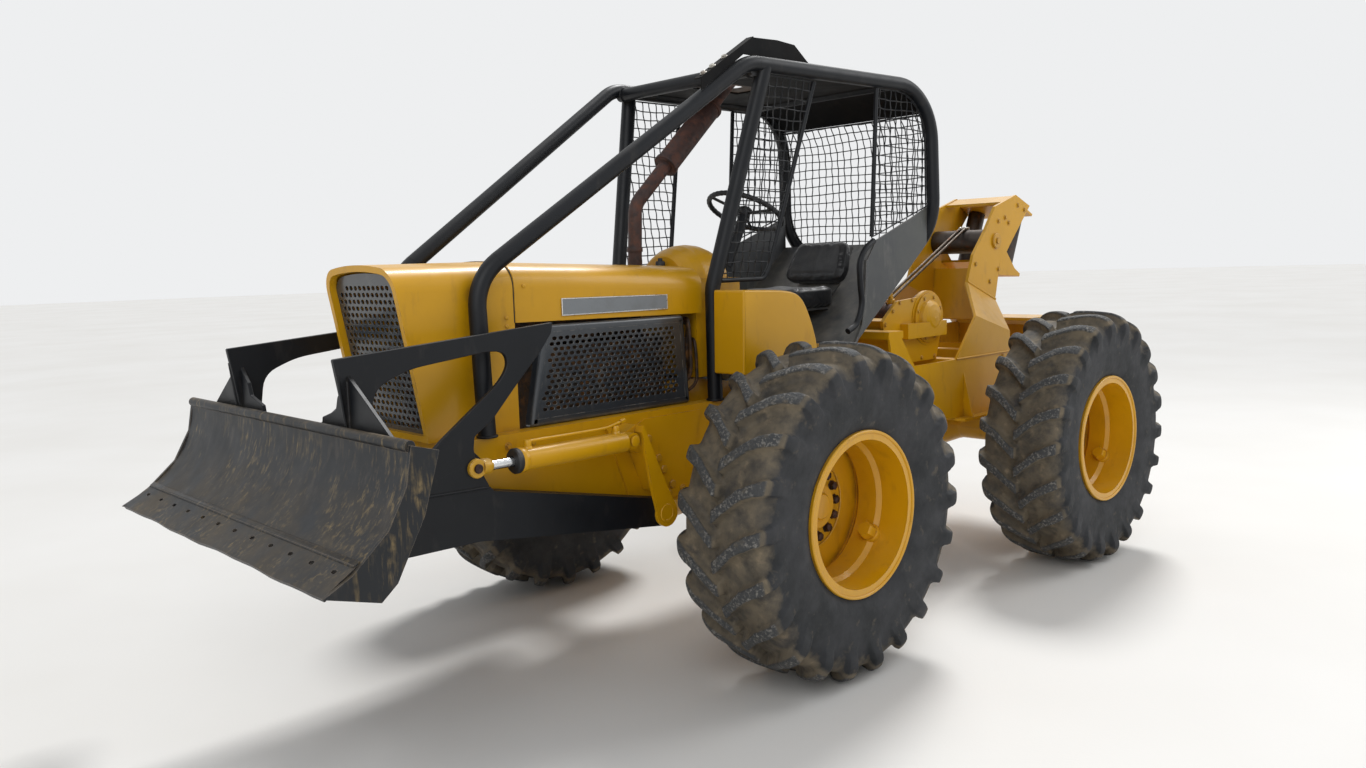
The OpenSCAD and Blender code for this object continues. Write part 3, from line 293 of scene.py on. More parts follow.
def anticlockwise(points: np.ndarray, bend: float | np.ndarray) -> np.ndarray:
    """Outline with round corners, turned round if it runs clockwise."""
    area = np.sum(points[:, 0] * np.roll(points[:, 1], -1) - points[:, 1] * np.roll(points[:, 0], -1))
    outline = round_corners(points, bend, 6)
    return outline if area > 0 else outline[::-1]


def swept(path: np.ndarray, radius: np.ndarray | float, segments: int = 12,
          closed: bool = False) -> np.ndarray:
    """Circle carried along a path: centre + radius * (cos a * side + sin a * up), square to the path.

    Args:
        path: points of shape (n, 3).
        radius: one radius, or one per point, or an (n, segments) array.
        segments: points round the path.
        closed: the path's last point joins its first.

    Returns:
        Points of shape (n, segments, 3).
    """
    path = np.asarray(path, float)
    if closed:
        along = unit(np.roll(path, -1, 0) - np.roll(path, 1, 0))
    else:
        along = unit(np.gradient(path, axis=0))
    square = np.linalg.svd(path - path.mean(0), full_matrices=True)[2][2]
    side = unit(np.cross(along, square))
    up = np.cross(side, along)
    a = round_angles(segments)[None, :, None]
    r = np.asarray(radius, float)
    r = r[:, None] if r.ndim == 1 else r
    r = np.broadcast_to(r, (len(path), segments))[..., None]
    return path[:, None] + r * (np.cos(a) * side[:, None] + np.sin(a) * up[:, None])


def rounded(width: float, height: float, corner: float, steps: int = 6) -> np.ndarray:
    """Outline of a rectangle about the origin with round corners, anticlockwise."""
    a = np.linspace(0, np.pi / 2, steps)
    arc = corner * np.stack([np.cos(a), np.sin(a)], -1)
    c = np.array([width / 2 - corner, height / 2 - corner])
    turn = np.array([[0.0, -1.0], [1.0, 0.0]])
    parts, spin, signs = [], np.eye(2), [(1, 1), (-1, 1), (-1, -1), (1, -1)]
    for sign in signs:
        parts.append(arc @ spin.T + c * sign)
        spin = turn @ spin
    return np.concatenate(parts)


def inset(outline: np.ndarray, distance: float) -> np.ndarray:
    """An anticlockwise outline with each edge moved inwards: corner + d (n1 + n2) / (1 + n1.n2)."""
    along = unit(np.roll(outline, -1, 0) - outline)
    n2 = np.stack([-along[:, 1], along[:, 0]], -1)
    n1 = np.roll(n2, 1, 0)
    return outline + distance * (n1 + n2) / (1 + np.sum(n1 * n2, -1, keepdims=True))


def slab(outline: np.ndarray, origin: np.ndarray, u: np.ndarray, v: np.ndarray,
         profile: Profile) -> np.ndarray:
    """Plate whose outline shrinks by inset as it rises by lift along u x v.

    Args:
        outline: anticlockwise points of shape (n, 2), in metres along u and v.
        origin: where the outline's (0, 0) is.
        u: first direction in the plate's plane.
        v: second direction in the plate's plane.
        profile: (inset, lift) pairs from the back of the plate to its front.

    Returns:
        Points of shape (profile, n, 3).
    """
    u, v = unit(np.asarray(u, float)), unit(np.asarray(v, float))
    out = np.cross(u, v)
    rings = [inset(outline, d) @ np.stack([u, v]) + lift * out for d, lift in profile]
    return np.asarray(origin) + np.stack(rings)


def edged(thickness: float, edge: float, lap: float = 0.0) -> list[Pair]:
    """Profile of a flat plate with bevelled edges, sunk by lap into what carries it."""
    return [(edge, -lap), (0.0, edge - lap), (0.0, thickness - edge), (edge, thickness)]


def add_bolts(form: Form, places: Sequence[np.ndarray], axis: np.ndarray, size: float = 0.011,
              washer: bool = True) -> None:
    """Add hexagon bolt heads, each on a washer.

    Args:
        form: the form that takes them.
        places: where each head sits.
        axis: the way the heads point.
        size: radius over a head's corners.
        washer: whether a washer is under each head.
    """
    lift = unit(np.asarray(axis, float))
    for n, spot in enumerate(places):
        seat = 0.0
        if washer:
            seat = 0.22 * size
            form.skin(turned([(0, -0.002), (1.45 * size, -0.002), (1.45 * size, 0.7 * seat),
                              (1.38 * size, seat), (0, seat)], spot, axis, 20))
        form.skin(turned([(0, 0), (size, 0), (size, 0.52 * size), (0.86 * size, 0.66 * size),
                          (0, 0.66 * size)], np.asarray(spot) + seat * lift, axis, 6, spin=0.7 * n))


def add_weld(form: Form, path: np.ndarray, radius: float = 0.005, closed: bool = False) -> None:
    """Add a weld bead along a path: its radius swells by a sixth once every 5 mm."""
    run = np.sum(np.linalg.norm(np.diff(path, axis=0), axis=1))
    line = even(np.asarray(path), max(12, int(run / 0.0017)))
    s = np.linspace(0, run, len(line))
    form.skin(swept(line, radius * (1 + 0.17 * np.abs(np.sin(np.pi * s / 0.005))), 8, closed), wrap=closed)


# ---------------------------------------------------------------- finishes


def linear(code: str) -> tuple[float, float, float, float]:
    """Linear RGBA from an sRGB hex code such as "#d9960f"."""
    c = np.array([int(code[i:i + 2], 16) for i in (1, 3, 5)]) / 255
    low, high = c / 12.92, ((c + 0.055) / 1.055) ** 2.4
    return (*np.where(c <= 0.04045, low, high).tolist(), 1.0)


class Shader:
    """A material while its nodes are put together."""

    def __init__(self, name: str) -> None:
        """Start a material of this name, with the object's own space for its patterns."""
        self.result = bpy.data.materials.new(name)
        self.result.use_nodes = True
        self.tree = self.result.node_tree
        self.place = self.add("TexCoord", out="Object")

    def add(self, kind: str, settings: Optional[dict] = None, links: Optional[dict] = None,
            out: int | str = 0) -> Socket:
        """Add a node.

        Args:
            kind: the node's type without "ShaderNode".
            settings: its properties, or socket values by socket name or index.
            links: sockets that feed it, by input name or index.
            out: which output is wanted, by name or index.

        Returns:
            That output.
        """
        node = self.tree.nodes.new("ShaderNode" + kind)
        for key, value in (settings or {}).items():
            if isinstance(key, str) and key not in node.inputs:
                setattr(node, key, value)
            else:
                node.inputs[key].default_value = value
        for key, source in (links or {}).items():
            self.tree.links.new(source, node.inputs[key])
        return node.outputs[out]

    def patch(self, size_mm: float, low: float, high: float, detail: float = 3.0,
              stretch: Point = (1, 1, 1), top: float = 1.0) -> Socket:
        """Cloudy mask: noise of a real size, cut between two levels.

        Args:
            size_mm: distance between patches in millimetres.
            low: noise level where the mask starts.
            high: noise level where the mask is full.
            detail: finer layers of the noise.
            stretch: how many times closer the pattern is along each axis.
            top: the mask's largest value.

        Returns:
            The mask's socket.
        """
        where = self.add("Mapping", {"Scale": stretch}, {"Vector": self.place})
        cloud = self.add("TexNoise", {"Scale": 1000 / size_mm, "Detail": detail, "Roughness": 0.6},
                         {"Vector": where})
        return self.add("MapRange", {"From Min": low, "From Max": high, "To Max": top}, {"Value": cloud})

    def all_of(self, *masks: Socket) -> Socket:
        """Mask that is full where every one of the masks is: their product."""
        whole = masks[0]
        for mask in masks[1:]:
            whole = self.add("Math", {"operation": "MULTIPLY"}, {0: whole, 1: mask})
        return whole

    def lay(self, under: object, over: str, *masks: Socket) -> Socket:
        """Lay one colour over another where every mask is full.

        Args:
            under: a hex code or a colour socket.
            over: a hex code.
            masks: where the upper colour lies.

        Returns:
            The colour's socket.
        """
        settings, links = {"data_type": "RGBA", 7: linear(over)}, {0: self.all_of(*masks)}
        if isinstance(under, str):
            settings[6] = linear(under)
        else:
            links[6] = under
        return self.add("Mix", settings, links, 2)

    def worn_edges(self, radius_mm: float, amount: float) -> Socket:
        """Mask along outer edges, broken up by noise: 1 where a bevel would turn the face."""
        bevel = self.add("Bevel", {"samples": 4, "Radius": radius_mm * MM})
        face = self.add("NewGeometry", out="Normal")
        turn = self.add("VectorMath", {"operation": "DOT_PRODUCT"}, {0: bevel, 1: face}, "Value")
        edge = self.add("MapRange", {"From Min": 0.985, "From Max": 0.86}, {"Value": turn})
        return self.all_of(edge, self.patch(45, 0.62 - 0.3 * amount, 0.72 - 0.3 * amount, 5))

    def facing_up(self, low: float = 0.35) -> Socket:
        """Mask of faces that look up, where dust settles."""
        z = self.add("SeparateXYZ", {}, {0: self.add("NewGeometry", out="Normal")}, "Z")
        return self.add("MapRange", {"From Min": low, "From Max": 1.0}, {"Value": z})

    def relief(self, *layers: tuple[Socket, float]) -> Socket:
        """Normal of reliefs laid over one another, lowest first, each with its depth in millimetres."""
        normal = None
        for height, depth_mm in layers:
            links = {"Height": height} if normal is None else {"Height": height, "Normal": normal}
            normal = self.add("Bump", {"Distance": depth_mm * MM}, links)
        return normal

    def finish(self, colour: Socket, rough: Socket, normal: Socket, values: dict) -> bpy.types.Material:
        """Join the sockets to the shader, set its plain values and return the material."""
        skin = self.tree.nodes["Principled BSDF"].inputs
        for key, source in (("Base Color", colour), ("Roughness", rough), ("Normal", normal)):
            self.tree.links.new(source, skin[key])
        for key, value in values.items():
            skin[key].default_value = value
        return self.result


@dataclass(frozen=True)
class Finish:
    """What a surface is made of, and the record's slot for it. Each kind below draws its own nodes."""

    name: str
    colour: str
    slot: str = field(default="", kw_only=True)

    def draw(self) -> bpy.types.Material:
        """Make the material."""
        raise NotImplementedError

    def material(self) -> bpy.types.Material:
        """The material, made on first use."""
        return bpy.data.materials.get(self.name) or self.draw()


@dataclass(frozen=True)
class Enamel(Finish):
    """Machine enamel sprayed on steel: a glossy skin with fine orange peel, faded in patches,
    with dust on its upper faces, grime and painted shade in its occluded corners and bare steel on its knocked
    edges."""

    faded: str = "#c58a22"
    bare: str = "#6b4a2a"
    dirt: str = "#a08a63"
    rough: float = 0.34
    wear: float = 0.35
    dust: float = 0.25
    streaks: float = 0.0
    streak_colour: str = "#7a6647"
    coat: float = 0.25
    gloss: float = 0.5

    def draw(self) -> bpy.types.Material:
        """Colour in patches, then streaks, grime with painted shade in occluded corners, dust and bare edges,
        over dents and orange peel.
        """
        s = Shader(self.name)
        colour = s.lay(self.colour, self.faded, s.patch(420, 0.42, 0.72, 4, top=0.55))
        colour = s.lay(colour, self.bare, s.patch(70, 0.58, 0.74, 4, (1, 1, 0.35), top=0.22))
        # Painted shade: in corners that ambient occlusion finds hemmed in, the bare tone is laid over the
        # paint, so the yellow enamel darkens there as shade and grime together.
        corner = s.add("AmbientOcclusion", {"samples": 4, "Distance": 0.05}, out="AO")
        grime_and_shade = s.add("MapRange", {"From Min": 0.75, "From Max": 0.25, "To Max": 0.55}, {"Value": corner})
        colour = s.lay(colour, self.bare, grime_and_shade, s.patch(120, 0.35, 0.6))
        if self.streaks:
            colour = s.lay(colour, self.streak_colour, s.patch(19, 0.50, 0.74, 6, (1, 1, 0.16), self.streaks),
                           s.patch(310, 0.42, 0.60, 3), s.patch(48, 0.36, 0.58, 6))
        dust = s.all_of(s.facing_up(), s.patch(160, 0.36, 0.66, 5, top=self.dust))
        colour = s.lay(colour, self.dirt, dust)
        colour = s.lay(colour, self.bare, s.worn_edges(3.5, self.wear))
        rough = s.add("MapRange", {"To Min": self.rough, "To Max": self.rough + 0.42}, {"Value": dust})
        rough = s.add("Math", {"operation": "ADD"}, {0: rough, 1: s.patch(90, 0.3, 0.8, 4, top=0.12)})
        dents = s.add("TexNoise", {"Scale": 1000 / 190, "Detail": 2.0}, {"Vector": s.place})
        peel = s.add("TexNoise", {"Scale": 1000 / 3.0, "Detail": 1.0}, {"Vector": s.place})
        return s.finish(colour, rough, s.relief((dents, 2.2), (peel, 0.05)), {
            "Coat Weight": self.coat, "Coat Roughness": 0.12, "IOR": 1.5, "Specular IOR Level": self.gloss})


@dataclass(frozen=True)
class TreadRubber(Finish):
    """Worn farm-tyre rubber: a smooth dark sidewall, dust between the lugs and pitted lug tops."""

    dust: str = "#746957"
    clay: str = "#94826a"
    top: str = "#3d3f41"
    grit: str = "#908c85"
    wall: str = "#232527"

    def draw(self) -> bpy.types.Material:
        """The attribute "lift" is 0 on the sidewall, 0.5 between lugs and 1 on a lug's top."""
        s = Shader(self.name)
        lift = s.add("Attribute", {"attribute_name": "lift"}, out="Fac")
        ragged = s.add("Math", {"operation": "ADD"}, {0: lift, 1: s.patch(70, 0.3, 0.7, 6, top=0.34)})
        tread = s.add("MapRange", {"From Min": 0.42, "From Max": 0.72}, {"Value": ragged})
        crest = s.add("MapRange", {"From Min": 0.80, "From Max": 0.95}, {"Value": lift})
        colour = s.lay(self.wall, self.colour, s.patch(150, 0.35, 0.75, 5, top=0.6))
        colour = s.lay(colour, self.dust, tread, s.patch(110, 0.15, 0.6, 6, top=0.9))
        colour = s.lay(colour, self.clay, tread, s.patch(55, 0.6, 0.75, 5, top=0.6))
        colour = s.lay(colour, self.top, crest, s.patch(40, 0.1, 0.45, 5, top=0.95))
        colour = s.lay(colour, self.grit, crest, s.patch(13, 0.50, 0.62, 5), s.patch(60, 0.35, 0.55, top=0.6))
        colour = s.lay(colour, self.dust, s.patch(55, 0.6, 0.74, 6, (1, 0.4, 1), top=0.4))
        rough = s.add("MapRange", {"To Min": 0.62, "To Max": 0.86}, {"Value": s.patch(60, 0.2, 0.8, 4)})
        grain = s.add("TexNoise", {"Scale": 1000 / 22, "Detail": 6.0}, {"Vector": s.place})
        pits = s.add("TexNoise", {"Scale": 1000 / 9, "Detail": 5.0}, {"Vector": s.place})
        return s.finish(colour, rough, s.relief((grain, 1.6), (s.all_of(crest, pits), 5.0)),
                        {"IOR": 1.5, "Specular IOR Level": 0.35})


@dataclass(frozen=True)
class Rust(Finish):
    """Mild steel with a rust skin: brown and orange patches, dull and finely pitted."""

    bright: str = "#7d4526"
    dark: str = "#2a1c18"
    metallic: float = 0.0
    rough: float = 0.78

    def draw(self) -> bpy.types.Material:
        """Three tones in patches over a pitted relief."""
        s = Shader(self.name)
        colour = s.lay(self.colour, self.bright, s.patch(60, 0.45, 0.68, 6))
        colour = s.lay(colour, self.dark, s.patch(35, 0.5, 0.62, 5, top=0.75))
        rough = s.add("MapRange", {"To Min": self.rough - 0.12, "To Max": self.rough + 0.1},
                      {"Value": s.patch(30, 0.3, 0.7)})
        pits = s.add("TexNoise", {"Scale": 1000 / 4, "Detail": 5.0}, {"Vector": s.place})
        return s.finish(colour, rough, s.relief((pits, 0.5)), {"Metallic": self.metallic})


@dataclass(frozen=True)
class Steel(Finish):
    """Bare steel, rubbed bright along one way, with oily darker patches."""

    dark: str = "#3b3733"
    rough: float = 0.3
    grain: Point = (1.0, 12.0, 12.0)
    rust: float = 0.3
    rust_colour: str = "#6a4028"

    def draw(self) -> bpy.types.Material:
        """A tone in patches, thin rust and drawn scratches."""
        s = Shader(self.name)
        colour = s.lay(self.colour, self.dark, s.patch(90, 0.45, 0.75, 5, top=0.7))
        colour = s.lay(colour, self.rust_colour, s.patch(50, 0.58, 0.70, 6, top=self.rust))
        rough = s.add("MapRange", {"To Min": self.rough, "To Max": self.rough + 0.25},
                      {"Value": s.patch(40, 0.35, 0.75, 5)})
        where = s.add("Mapping", {"Scale": self.grain}, {"Vector": s.place})
        lines = s.add("TexNoise", {"Scale": 1000 / 12, "Detail": 4.0}, {"Vector": where})
        return s.finish(colour, rough, s.relief((lines, 0.06)), {"Metallic": 1.0})


@dataclass(frozen=True)
class Vinyl(Finish):
    """Black seat vinyl: a leather grain of small cells with a soft sheen and a little dust."""

    cell_mm: float = 3.2
    faded: str = "#4d4b48"
    dust: str = "#7b7367"

    def draw(self) -> bpy.types.Material:
        """Cells drawn as a relief, twice their real size so that they show."""
        s = Shader(self.name)
        colour = s.lay(self.colour, self.faded, s.patch(90, 0.5, 0.8, 5, top=0.35))
        colour = s.lay(colour, self.dust, s.facing_up(0.5), s.patch(60, 0.45, 0.75, 5, top=0.3))
        rough = s.add("MapRange", {"To Min": 0.36, "To Max": 0.56}, {"Value": s.patch(70, 0.3, 0.7, 4)})
        creases = s.add("TexNoise", {"Scale": 1000 / 28, "Detail": 5.0}, {"Vector": s.place})
        cells = s.add("TexVoronoi", {"Scale": 1000 / self.cell_mm, "feature": "SMOOTH_F1"},
                      {"Vector": s.place}, "Distance")
        return s.finish(colour, rough, s.relief((creases, 1.0), (cells, 0.35)),
                        {"Sheen Weight": 0.15, "Sheen Roughness": 0.4, "IOR": 1.5})


@dataclass(frozen=True)
class Plastic(Finish):
    """Moulded black plastic: an even satin skin with fine spark-eroded grain."""

    rough: float = 0.45
    grain_mm: float = 1.6
    handled: str = "#55524d"

    def draw(self) -> bpy.types.Material:
        """An even tone with handling marks over a fine relief."""
        s = Shader(self.name)
        colour = s.lay(self.colour, self.handled, s.patch(80, 0.5, 0.8, 4, top=0.3))
        rough = s.add("MapRange", {"To Min": self.rough, "To Max": self.rough + 0.2},
                      {"Value": s.patch(50, 0.3, 0.7, 3)})
        fine = s.add("TexNoise", {"Scale": 1000 / self.grain_mm, "Detail": 2.0}, {"Vector": s.place})
        return s.finish(colour, rough, s.relief((fine, 0.12)), {"IOR": 1.5})


@dataclass(frozen=True)
class PaleFloor(Finish):
    """Pale matt studio floor with a faint cloud in its tone."""

    cloud: str = "#dcd9d3"

    def draw(self) -> bpy.types.Material:
        """Almost one tone, so that only the machine's shadow shows."""
        s = Shader(self.name)
        colour = s.lay(self.colour, self.cloud, s.patch(2600, 0.35, 0.7, 3, top=0.5))
        rough = s.add("MapRange", {"To Min": 0.8, "To Max": 0.95}, {"Value": s.patch(900, 0.0, 1.0, 2)})
        grit = s.add("TexNoise", {"Scale": 1000 / 14, "Detail": 3.0}, {"Vector": s.place})
        return s.finish(colour, rough, s.relief((grit, 0.4)), {"Specular IOR Level": 0.2})


YELLOW = Enamel("yellow_enamel_on_steel", "#cf9903", "#bd8b09", dust=0.12, coat=0.15, gloss=0.4,
                slot="yellow_paint")
YELLOW_RIM = Enamel("yellow_enamel_on_rims", "#d09904", "#b5840e", wear=0.4, dust=0.2, bare="#70431f",
                    slot="yellow_paint")
YELLOW_WORN = Enamel("worn_yellow_enamel", "#c59412", wear=0.85, dust=0.6, rough=0.42, streaks=0.35,
                     streak_colour="#6b4a2c", slot="yellow_paint")
BLACK = Enamel("blue_black_satin_enamel", "#0b0e13", "#13171d", "#45413c", "#5f594f", 0.4, 0.25, 0.1,
               coat=0.0, gloss=0.3, slot="black_paint")
ROOF = Enamel("sooty_black_enamel_on_roof", "#0b0c0e", "#1e1914", "#3a3028", "#5f594f", 0.7, 0.2, 0.1,
              coat=0.0, gloss=0.15, slot="black_paint")
BLADE = Enamel("scuffed_black_enamel_on_blade", "#15181c", "#1f2226", "#6f655a", "#80715a", 0.42, 0.9, 0.4,
               0.95, "#8f7a52", 0.0, 0.35, slot="black_paint")
SHELL = Enamel("scuffed_dark_grey_steel", "#3b3d3f", "#55564f", "#85807a", "#8b8478", 0.44, 0.7, 0.5,
               0.35, "#8f897d", 0.1)
SCREEN = Enamel("dull_black_enamel_on_screens", "#2b3036", "#363c42", "#77756f", "#766e61", 0.27, 0.5, 0.15,
                coat=0.5, slot="black_paint")
ENGINE = Rust("oily_engine_castings", "#3a2a1c", "#7d5222", "#14100d", rough=0.6, slot="rusty_steel")
HEATED = Rust("heat_browned_sheet_steel", "#4f4032", "#6a5440", "#2e2620", rough=0.7, slot="rusty_steel")
EXHAUST = Rust("rusty_exhaust_steel", "#3d2823", "#5d382a", "#241a1a", rough=0.66, slot="rusty_steel")
WINCH_STEEL = Rust("rusty_winch_steel", "#4a3128", "#6b4230", "#241b18", metallic=0.35, rough=0.55)
FASTENER = Rust("oiled_black_bolts", "#3a2722", "#51352a", "#1c1614", metallic=0.4, rough=0.5,
                slot="dark_steel")
ROLLER = Steel("rubbed_roller_steel", "#4c4642", "#2b2523", 0.38, rust=0.5)
CHROME = Steel("hard_chrome_on_rods", "#d8dadb", "#a9acae", 0.1, rust=0.0)
BRIGHT_BOLT = Steel("zinc_plated_bolts", "#b5b2aa", "#77736b", 0.35, rust=0.35, slot="dark_steel")
BADGE_FRAME = Steel("polished_aluminium_badge", "#dcdcda", "#aaa9a6", 0.2, rust=0.0, slot="chrome_rod")
ROPE = Steel("greased_steel_wire_rope", "#5a5148", "#2b2520", 0.42, rust=0.6, grain=(4, 4, 4),
             slot="steel_cable")
BADGE_FIELD = Plastic("grey_badge_field", "#7d8184", 0.4, slot="dark_steel")
PLASTIC = Plastic("black_moulded_plastic", "#16171a", slot="black_plastic")
VINYL = Vinyl("black_seat_vinyl", "#17181b", slot="seat_vinyl")
TYRE = TreadRubber("farm_tyre_rubber", "#47474a", slot="tyre")
FLOOR = PaleFloor("pale_floor_paint", "#e6e4e0")


def each_side(*names: str) -> list[str]:
    """Each name with _left and with _right."""
    return [f"{name}_{side.word}" for name in names for side in Side]


NODE_FINISH: dict[str, Finish] = {
    node: finish for finish, nodes in (
        (YELLOW, ["front_frame", "front_axle", "transmission", "grille_housing", "hood", "dash_cowl",
                  "side_tanks", "lift_brackets", "rear_frame", "rear_axle", "winch_housing", "log_arch",
                  *each_side("lift_barrel", "steer_barrel")]),
        (YELLOW_WORN, ["butt_plate"]),
        (YELLOW_RIM, each_side("rim_front", "rim_rear")),
        (ROOF, ["guard_roof"]),
        (BLACK, ["front_grille", "guard_frame", "guard_mesh", "steering_column", "push_arms",
                 "brush_guards", *each_side("mesh_front", "mesh_rear")]),
        (BLADE, ["blade_moldboard", "cutting_edge"]),
        (SHELL, ["rear_shell", "platform", "seat_base"]),
        (CHROME, each_side("lift_rod", "steer_rod")),
        (ROLLER, ["cross_roller", *each_side("side_roller")]),
        (SCREEN, ["side_screens"]), (ENGINE, ["engine"]), (EXHAUST, ["exhaust"]),
        (WINCH_STEEL, ["winch_drum"]), (ROPE, ["winch_line"]), (PLASTIC, ["steering_wheel"]),
        (VINYL, ["seat_cushion", "seat_back"]),
        (TYRE, each_side("tyre_front", "tyre_rear"))) for node in nodes}


# ---------------------------------------------------------------- studio


@dataclass
class Studio:
    """Camera at the photograph's angle, soft light, and a pale floor."""

    position: Point = (4.1878, 3.928, 1.8609)
    yaw: float = -2.3351
    pitch: float = 0.1172
    roll: float = -0.0306
    lens: float = 27.774
    floor_radius: float = 90.0
    sky: str = "#eeeff0"
    glow: str = "#eef2f8"
    glow_level: float = 0.5
    middle: Point = (0.0, 0.0, 0.8)

    def build_camera(self) -> None:
        """Camera whose view axis is (cos yaw cos pitch, sin yaw cos pitch, -sin pitch), rolled about it."""
        view = np.array([math.cos(self.yaw) * math.cos(self.pitch), math.sin(self.yaw) * math.cos(self.pitch),
                         -math.sin(self.pitch)])
        right = unit(np.cross(view, Z))
        up = np.cross(right, view)
        c, s = math.cos(self.roll), math.sin(self.roll)
        axes = np.stack([c * right + s * up, c * up - s * right, -view], 1)
        camera = linked("camera", bpy.data.cameras.new("camera"))
        camera.data.lens, camera.data.sensor_width = self.lens, 36.0
        camera.matrix_world = Matrix.Translation(self.position) @ Matrix(axes.tolist()).to_4x4()
        bpy.context.scene.camera = camera

    def build_light(self) -> None:
        """An even sky, a broad sun from behind the machine's right and a wide lamp near the camera."""
        world = bpy.data.worlds.new("studio")
        bpy.context.scene.world = world
        world.use_nodes = True
        tree = world.node_tree
        glow = tree.nodes["Background"]
        glow.inputs[0].default_value = linear(self.glow)
        glow.inputs[1].default_value = self.glow_level
        seen = tree.nodes.new("ShaderNodeBackground")
        seen.inputs[0].default_value = linear(self.sky)
        ray = tree.nodes.new("ShaderNodeLightPath")
        any_seen = ray.outputs["Is Camera Ray"]
        for kind in ("Is Glossy Ray", "Is Transmission Ray"):
            either = tree.nodes.new("ShaderNodeMath")
            either.operation = "MAXIMUM"
            tree.links.new(any_seen, either.inputs[0])
            tree.links.new(ray.outputs[kind], either.inputs[1])
            any_seen = either.outputs[0]
        mix = tree.nodes.new("ShaderNodeMixShader")
        for n, source in enumerate((any_seen, glow.outputs[0], seen.outputs[0])):
            tree.links.new(source, mix.inputs[n])
        tree.links.new(mix.outputs[0], tree.nodes["World Output"].inputs[0])
        self.lamp("sun", "SUN", (-5, -2.5, 8), 2.3, angle=math.radians(16))
        self.lamp("wide_lamp", "AREA", (7.5, 6.0, 6.5), 250.0, size=6.0)
        self.lamp("rear_lamp", "AREA", (-7.0, 5.0, 7.0), 240.0, size=5.0)

    def lamp(self, name: str, kind: str, where: Point, power: float,
             **facts: float) -> None:
        """Add one lamp that looks at the machine's middle.

        Args:
            name: the lamp's name.
            kind: Blender's kind of lamp.
            where: its place in metres.
            power: watts, or the sun's strength.
            facts: its other settings.
        """
        data = bpy.data.lights.new(name, kind)
        data.energy = power
        for key, value in facts.items():
            setattr(data, key, value)
        lamp = linked(name, data)
        lamp.location = where
        lamp.rotation_mode = "QUATERNION"
        lamp.rotation_quaternion = (Vector(self.middle) - Vector(where)).to_track_quat("-Z", "Y")

    def build_floor(self) -> None:
        """A thin disc turned about Z, far wider than any view."""
        form = Form().skin(turned([(0, -0.02), (self.floor_radius, -0.02), (self.floor_radius, 0), (0, 0)],
                                  np.zeros(3), Z, 96))
        mesh = bpy.data.meshes.new("floor")
        mesh.from_pydata(np.concatenate(form.points).tolist(), [], form.faces)
        mesh.materials.append(FLOOR.material())
        linked("floor", mesh)

    def build(self) -> None:
        """Camera, lights and floor, and the view's plain transform."""
        bpy.context.scene.view_settings.view_transform = "Standard"
        self.build_camera()
        self.build_light()
        self.build_floor()


# ---------------------------------------------------------------- winch line


@dataclass
class WinchLine:
    """Two strands of wire rope from the drum over the cross roller, each with a swaged end."""

    drum_top: Pair = (-718.7, 374.4)
    corner: Pair = (-1646.0, 838.6)
    end: Pair = (-1690.0, 838.6)
    bend: float = 89.3
    radius: float = 0.009
    lay: float = 0.11
    strands: int = 6
    ferrule: Pairs = ((0, 0), (0.011, 0), (0.0125, 0.004), (0.0125, 0.046), (0.009, 0.052), (0, 0.052))
    apart: float = 20.0

    def route(self, y: float) -> np.ndarray:
        """The strand's line: two straight lengths joined by an arc of the bend's radius."""
        a, b, c = (rear(p[0], y, p[1]) for p in (self.drum_top, self.corner, self.end))
        u, v = unit(b - a), unit(c - b)
        turn = math.acos(float(u @ v))
        cut = self.bend * MM * math.tan(turn / 2)
        start, n = b - u * cut, unit(v - (u @ v) * u)
        t = np.linspace(0, turn, 14)[:, None]
        arc = start + self.bend * MM * (np.sin(t) * u + (1 - np.cos(t)) * n)
        return even(np.concatenate([a[None], arc, c[None]]), 420)

    def build(self) -> None:
        """Rope surface: radius (0.84 + 0.16 sqrt |cos(strands (a - 2 pi s / lay) / 2)|), twisted along s."""
        for n, y in enumerate((-self.apart, self.apart)):
            path = self.route(y)
            run = float(np.sum(np.linalg.norm(np.diff(path, axis=0), axis=1)))
            s = np.linspace(0, run, len(path))[:, None]
            a = round_angles(30)[None, :]
            twist = np.abs(np.cos(self.strands * (a - 2 * np.pi * s / self.lay) / 2))
            r = self.radius * (0.84 + 0.16 * np.sqrt(twist))
            rope = Form().skin(swept(path, r, 30)).piece(
                f"winch_rope_{n + 1}", ROPE, "rear_body", 1.2, ["winch_line"])
            away = unit(path[-1] - path[-2])
            end = Form().skin(turned(self.ferrule, path[-1] - 0.048 * away, away, 24)).piece(
                f"rope_ferrule_{n + 1}", BRIGHT_BOLT, "rear_body")


# ---------------------------------------------------------------- wheels


